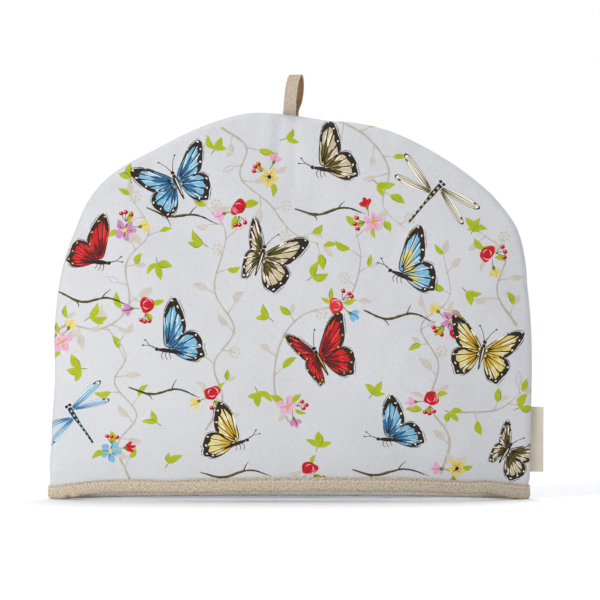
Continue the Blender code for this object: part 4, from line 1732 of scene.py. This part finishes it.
def make_binding(ring):
    """Folded bias tape all round the hem, over the outside and the lining."""
    # Painted shade in the stitches' groove, darker at the holes between them.
    shade_dashes = 0.72 + 0.38 * holes(ring) + 0.30 * waves(ring.along, 0.0, DASH_LENGTH, DASH_SEED)
    shade_dashes = np.clip(shade_dashes, LEAST_DASH, MOST_DASH)
    rows, painted_shades = [], []
    for row in BINDING_SECTION:
        if row.kind == "outside":
            plan, way = ring.outside, ring.out_way
        else:
            plan, way = ring.lining, ring.in_way
        plan = plan + way * np.reshape(binding_off(ring, row), (-1, 1))
        height = hem_height(ring, plan, row.height + binding_rise(ring, row))
        rows.append(np.column_stack([plan, np.maximum(height, 0.0)]))
        painted_shades.append(row.tone * (shade_dashes if row.height > PLAIN_HEIGHT else 1.0))
    return swept("hem_binding_tape", np.stack(rows, axis=1), painted_shades, True, bias_cotton())


def grid_distances(rows):
    """How far each point of a grid lies along it and across it, for its weave."""
    along = np.linalg.norm(np.diff(rows, axis=0), axis=2).mean(axis=1)
    across = np.linalg.norm(np.diff(rows, axis=1), axis=2).mean(axis=0)
    return np.concatenate([[0], np.cumsum(along)]), np.concatenate([[0], np.cumsum(across)])


def swept(name, rows, painted_shades, closed, material):
    """A closed skin over stations and sections: a ring, or a strip whose two ends are capped."""
    stations, points = rows.shape[:2]
    looped = np.concatenate([rows, rows[:1]]) if closed else rows
    looped = np.concatenate([looped, looped[:, :1]], axis=1)
    far, wide = grid_distances(looped)
    faces, places = [], []
    for i in range(stations if closed else stations - 1):
        for j in range(points):
            corners = [(i, j), (i + 1, j), (i + 1, j + 1), (i, j + 1)]
            faces.append([(a % stations) * points + b % points for a, b in corners])
            places += [(far[a], wide[b]) for a, b in corners]
    if not closed:
        for i, turn in ((0, 1), (stations - 1, -1)):
            faces.append([i * points + j for j in range(points)][::turn])
            places += [(far[i], wide[j]) for j in range(points)][::turn]
    mesh = bpy.data.meshes.new(name)
    mesh.from_pydata(rows.reshape(-1, 3).tolist(), [], faces)
    add_uv(mesh, "cloth", places)
    by_point = np.stack([np.broadcast_to(tone, stations) for tone in painted_shades], axis=1)
    tone = mesh.attributes.new("tone", "FLOAT", "POINT")
    tone.data.foreach_set("value", by_point.astype(np.float32).ravel())
    return finished(name, mesh, material)


def placed(name, mesh, material):
    piece = bpy.data.objects.new(name, mesh)
    bpy.context.scene.collection.objects.link(piece)
    mesh.materials.append(material)
    return piece


def finished(name, mesh, material):
    """A piece with every face outwards and smooth."""
    one_way_out(mesh)
    mesh.shade_smooth()
    return placed(name, mesh, material)


def stitch_faces():
    """Faces of one stitch: its sides, and a cap at each end."""
    faces = []
    for i in range(len(STITCH_SHAPE) - 1):
        for j in range(STITCH_SIDES):
            a, b = i * STITCH_SIDES + j, i * STITCH_SIDES + (j + 1) % STITCH_SIDES
            faces.append((a, b, b + STITCH_SIDES, a + STITCH_SIDES))
    last = (len(STITCH_SHAPE) - 1) * STITCH_SIDES
    return faces + [tuple(range(first, first + STITCH_SIDES)) for first in (0, last)]


def stitch_row(ring, plan, way, off, height):
    """Points of a row of stitches, stitch after stitch, and their places on the cloth."""
    count = len(ring.x) // STEPS_PER_STITCH
    steps = np.arange(len(ring.x) + 1)
    share, fat = np.array(STITCH_SHAPE).T
    stitch = np.arange(count)[:, None]
    station = (stitch + 0.5 + share * STITCH_LENGTH / ring.pitch) * STEPS_PER_STITCH

    def at(values):
        return np.interp(station, steps, np.append(values, values[:1]))[..., None]

    turn = 2 * math.pi * np.arange(STITCH_SIDES) / STITCH_SIDES
    sink = at(off) - STITCH_DIP * (2 * share[:, None]) ** 4
    out = sink + THREAD_HALF[0] * fat[:, None] * np.cos(turn)
    up = THREAD_HALF[1] * fat[:, None] * np.sin(turn)
    up = up + at(hem_height(ring, plan, height)) + STITCH_UNEVEN * np.sin(stitch * UNEVEN_STEP)[..., None]
    x = at(plan[:, 0]) + at(way[:, 0]) * out
    y = at(plan[:, 1]) + at(way[:, 1]) * out
    points = np.stack([x, y, np.maximum(0.0, up)], axis=-1)
    along = (stitch * ring.pitch + share * STITCH_LENGTH)[..., None]
    places = np.stack(np.broadcast_arrays(along, turn * THREAD_RADIUS), axis=-1)
    return points.reshape(-1, 3), places.reshape(-1, 2)


def make_stitches(ring):
    """The row of topstitching that holds the binding, on its outside and inside it."""
    flat = np.zeros_like(ring.x)
    off = pinched(ring, OUTER_SEAM.off, OUTER_SEAM.height) + flat
    height = OUTER_SEAM.height + full_fold(ring, OUTER_SEAM.height)
    outer = stitch_row(ring, ring.outside, ring.out_way, off, height)
    inner = stitch_row(ring, ring.lining, ring.in_way, INNER_SEAM.off + flat, INNER_SEAM.height)
    points, places = np.vstack([outer[0], inner[0]]), np.vstack([outer[1], inner[1]])
    each = len(STITCH_SHAPE) * STITCH_SIDES
    faces = [
        [first + k for k in face] for first in range(0, len(points), each) for face in stitch_faces()
    ]
    mesh = bpy.data.meshes.new("hem_stitches")
    mesh.from_pydata(points.tolist(), [], faces)
    add_uv(mesh, "cloth", at_corners(mesh, places))
    return finished("hem_stitches", mesh, sewing_thread())


# ---------------------------------------------------------------- loop and label

# Across a tape: share of its half width, and share of its half thickness there.
TAPE_SECTION = mirrored([
    (0.15, 0.88),
    (0.45, 0.84),
    (0.72, 0.78),
    (0.82, 0.96),
    (0.93, 1.0),
    (0.985, 0.85),
    (1.0, 0.35),
])
RIM_SHARE, RIM_SHADE_SHARE = 0.98, 0.35  # at a tape's edges its inner face has less of the painted shade inside the loop
# Painted shade along the top of the loop's turn, and half its width.
LOOP_TOP_SHADE = 0.9
LOOP_TOP_SHADE_HALF = 0.8 * MM
LABEL_INSIDE = 167 * MM
LABEL_CURL = 0.5 * MM
LABEL_SLANT = 0.9 * MM
LABEL_SLIP = 0.9 * MM  # of the front layer over the back one


def tape(name, path, place, width, thickness, material, inner_shade=0.0, outer_shade=0.0):
    """A tape along a path in a plane, its width laid out by place(first, second, across)."""
    way = np.gradient(path, axis=0)
    normal = unit(np.stack([-way[:, 1], way[:, 0]], axis=1))
    rows, painted_shades = [], []
    for face in (1, -1):
        for across, thick in TAPE_SECTION[::face]:
            at = path + normal * face * thick * thickness / 2
            rows.append(place(at[:, 0], at[:, 1], across * width / 2))
            rim = RIM_SHADE_SHARE if abs(across) > RIM_SHARE else 1.0
            # painted shade: on the inner face, less at its edges, and on the outer face
            painted_shades.append(outer_shade if face == 1 else inner_shade * rim)
    return swept(name, np.stack(rows, axis=1), painted_shades, False, material)


def make_loop():
    """The hanging loop: ribbed tape folded over and sewn into the crown."""
    path = curve([(point.out, point.height) for point in LOOP_PATH], steps=6)
    back_half = np.arange(len(path)) > len(path) // 2

    def place(out, height, across):
        turn = LOOP_TURN * smooth_step(LOOP_SEAM, LOOP_SEAM + LOOP_TURN_HEIGHT, height)
        share = np.clip((height - LOOP_SEAM) / (LOOP_TOP - LOOP_SEAM), 0.0, 1.0)
        aside = LOOP_LEAN * share + LOOP_ASIDE * back_half * (1 - share**2)
        x = LOOP_X + aside + across * np.cos(turn) + out * np.sin(turn) + MIDDLE_X
        return np.stack([x, out * np.cos(turn) - across * np.sin(turn), height], axis=1)

    # Painted shade along the top of the turn.
    top_shade = LOOP_TOP_SHADE * hill(path[:, 1], LOOP_TOP, LOOP_TOP_SHADE_HALF)
    return tape("hanging_loop_tape", path, place, LOOP_WIDTH, LOOP_THICKNESS, loop_tape(), 1.0, top_shade)


def make_label():
    """A blank folded tape in the right side seam, curled a little where it stands out."""
    fold = LABEL_TIP - LABEL_LAYER / 2 - LABEL_HALF_FOLD
    ends = (LABEL_ROOT, LABEL_INSIDE, LABEL_OUT)
    path = [(x, LABEL_HALF_FOLD) for x in ends]
    for turn in np.radians(np.linspace(90, -90, 9)):
        path.append((fold + LABEL_HALF_FOLD * math.cos(turn), LABEL_HALF_FOLD * math.sin(turn)))
    path += [(x, -LABEL_HALF_FOLD) for x in ends[::-1]]
    middle, half = (LABEL_LOW + LABEL_HIGH) / 2, (LABEL_HIGH - LABEL_LOW) / 2

    def place(x, y, across):
        free = smooth_step(LABEL_OUT, LABEL_TIP, x)
        up = across / half
        curl = free * (LABEL_CURL * math.cos(2.2 * up) - LABEL_SLANT * up)
        front = 0.5 - 0.5 * np.clip(y / LABEL_HALF_FOLD, -1, 1)
        slip = LABEL_SLIP * free * front * (0.5 - 0.5 * up)
        return np.stack([x + MIDDLE_X, y + curl, middle + across + slip], axis=1)

    path = curve(path, steps=4)
    return tape("side_label_tape", path, place, 2 * half, LABEL_LAYER, label_tape())


# ---------------------------------------------------------------- the scene

CAMERA_AWAY = 3.0
CAMERA_X = MIDDLE_X + 7.7 * MM
CAMERA_HEIGHT = 140.3 * MM
FRAME_WIDTH = 423.8 * MM  # what the frame takes in, at the seam
SENSOR_WIDTH = 36
FAR = 60
FLOOR_HALF = 9.0
SURROUND = (0.50, 0.51, 0.53, 1)
BACKDROP = (1.0, 1.0, 1.0, 1)

# Soft suns: where they stand, and how wide they are in degrees, which blurs their shadows.
Sun = namedtuple("Sun", "name place power width color")
SUNS = [
    Sun("key", (-0.62, -0.60, 0.42), 1.5, 30, (1.0, 0.985, 0.96)),
    Sun("over", (0.10, 0.42, 0.90), 1.8, 35, (1.0, 1.0, 1.0)),
]
# Lamps in the hollow, which light it as thin cotton would, so that the hem's shadow stays soft.
Glow = namedtuple("Glow", "name y height turn spread size power color")
GLOWS = [
    Glow("floor_glow", -0.006, 0.045, -12, 100, (0.31, 0.016), 0.024, (1.0, 0.98, 0.95)),
    Glow("hem_glow", -0.012, 0.014, 94, 70, (0.28, 0.012), 0.035, (0.72, 0.84, 1.0)),
]


def stood(name, data, place, turn):
    thing = bpy.data.objects.new(name, data)
    thing.location = place
    thing.rotation_euler = turn
    bpy.context.scene.collection.objects.link(thing)
    return thing


def add_camera():
    data = bpy.data.cameras.new("camera")
    data.sensor_width = SENSOR_WIDTH
    data.lens = SENSOR_WIDTH * CAMERA_AWAY / FRAME_WIDTH
    data.clip_end = FAR
    place = (CAMERA_X, -CAMERA_AWAY, CAMERA_HEIGHT)
    bpy.context.scene.camera = stood("camera", data, place, (math.pi / 2, 0, 0))


def lamp(row, kind):
    data = bpy.data.lights.new(row.name, kind)
    data.energy = row.power
    data.color = row.color
    return data


def add_sun(row):
    data = lamp(row, "SUN")
    data.angle = math.radians(row.width)
    towards = (-Vector(row.place)).to_track_quat("-Z", "Y").to_euler()
    stood(row.name, data, row.place, towards)


def add_glow(row):
    data = lamp(row, "AREA")
    data.shape = "RECTANGLE"
    data.size, data.size_y = row.size
    data.spread = math.radians(row.spread)
    thing = stood(row.name, data, (MIDDLE_X, row.y, row.height), (math.radians(row.turn), 0, 0))
    thing.visible_camera = False


def add_world():
    """Even light from all round, and a white backdrop where the camera looks past the object."""
    world = bpy.data.worlds.new("studio")
    world.use_nodes = True
    nodes, links = world.node_tree.nodes, world.node_tree.links
    around = nodes["Background"]
    around.inputs["Color"].default_value = SURROUND
    behind = nodes.new("ShaderNodeBackground")
    behind.inputs["Color"].default_value = BACKDROP
    ray, mix = nodes.new("ShaderNodeLightPath"), nodes.new("ShaderNodeMixShader")
    links.new(ray.outputs["Is Camera Ray"], mix.inputs[0])
    links.new(around.outputs[0], mix.inputs[1])
    links.new(behind.outputs[0], mix.inputs[2])
    links.new(mix.outputs[0], nodes["World Output"].inputs["Surface"])
    bpy.context.scene.world = world


def add_floor():
    mesh = bpy.data.meshes.new("studio_floor")
    corners = [(x * FLOOR_HALF, y * FLOOR_HALF, 0) for x, y in ((-1, -1), (1, -1), (1, 1), (-1, 1))]
    mesh.from_pydata(corners, [], [(0, 1, 2, 3)])
    placed("studio_floor", mesh, pale_floor())


def add_studio():
    add_camera()
    add_floor()
    add_world()
    for row in SUNS:
        add_sun(row)
    for row in GLOWS:
        add_glow(row)
    bpy.context.scene.view_settings.view_transform = "Standard"


def dress(piece, node):
    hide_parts(node)
    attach(piece, "root")


def main():
    add_studio()
    cotton = printed_cotton()
    for node, side in (("front_panel", FRONT), ("back_panel", BACK)):
        name = node + "_cloth"
        panel = placed(name, panel_mesh(name, side), cotton)
        dress(panel, node)
    ring = hem_ring()
    binding, stitches = make_binding(ring), make_stitches(ring)
    dress(binding, "hem_binding")
    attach(stitches, "root")
    loop, label = make_loop(), make_label()
    dress(loop, "hanging_loop")
    dress(label, "side_label")


main()
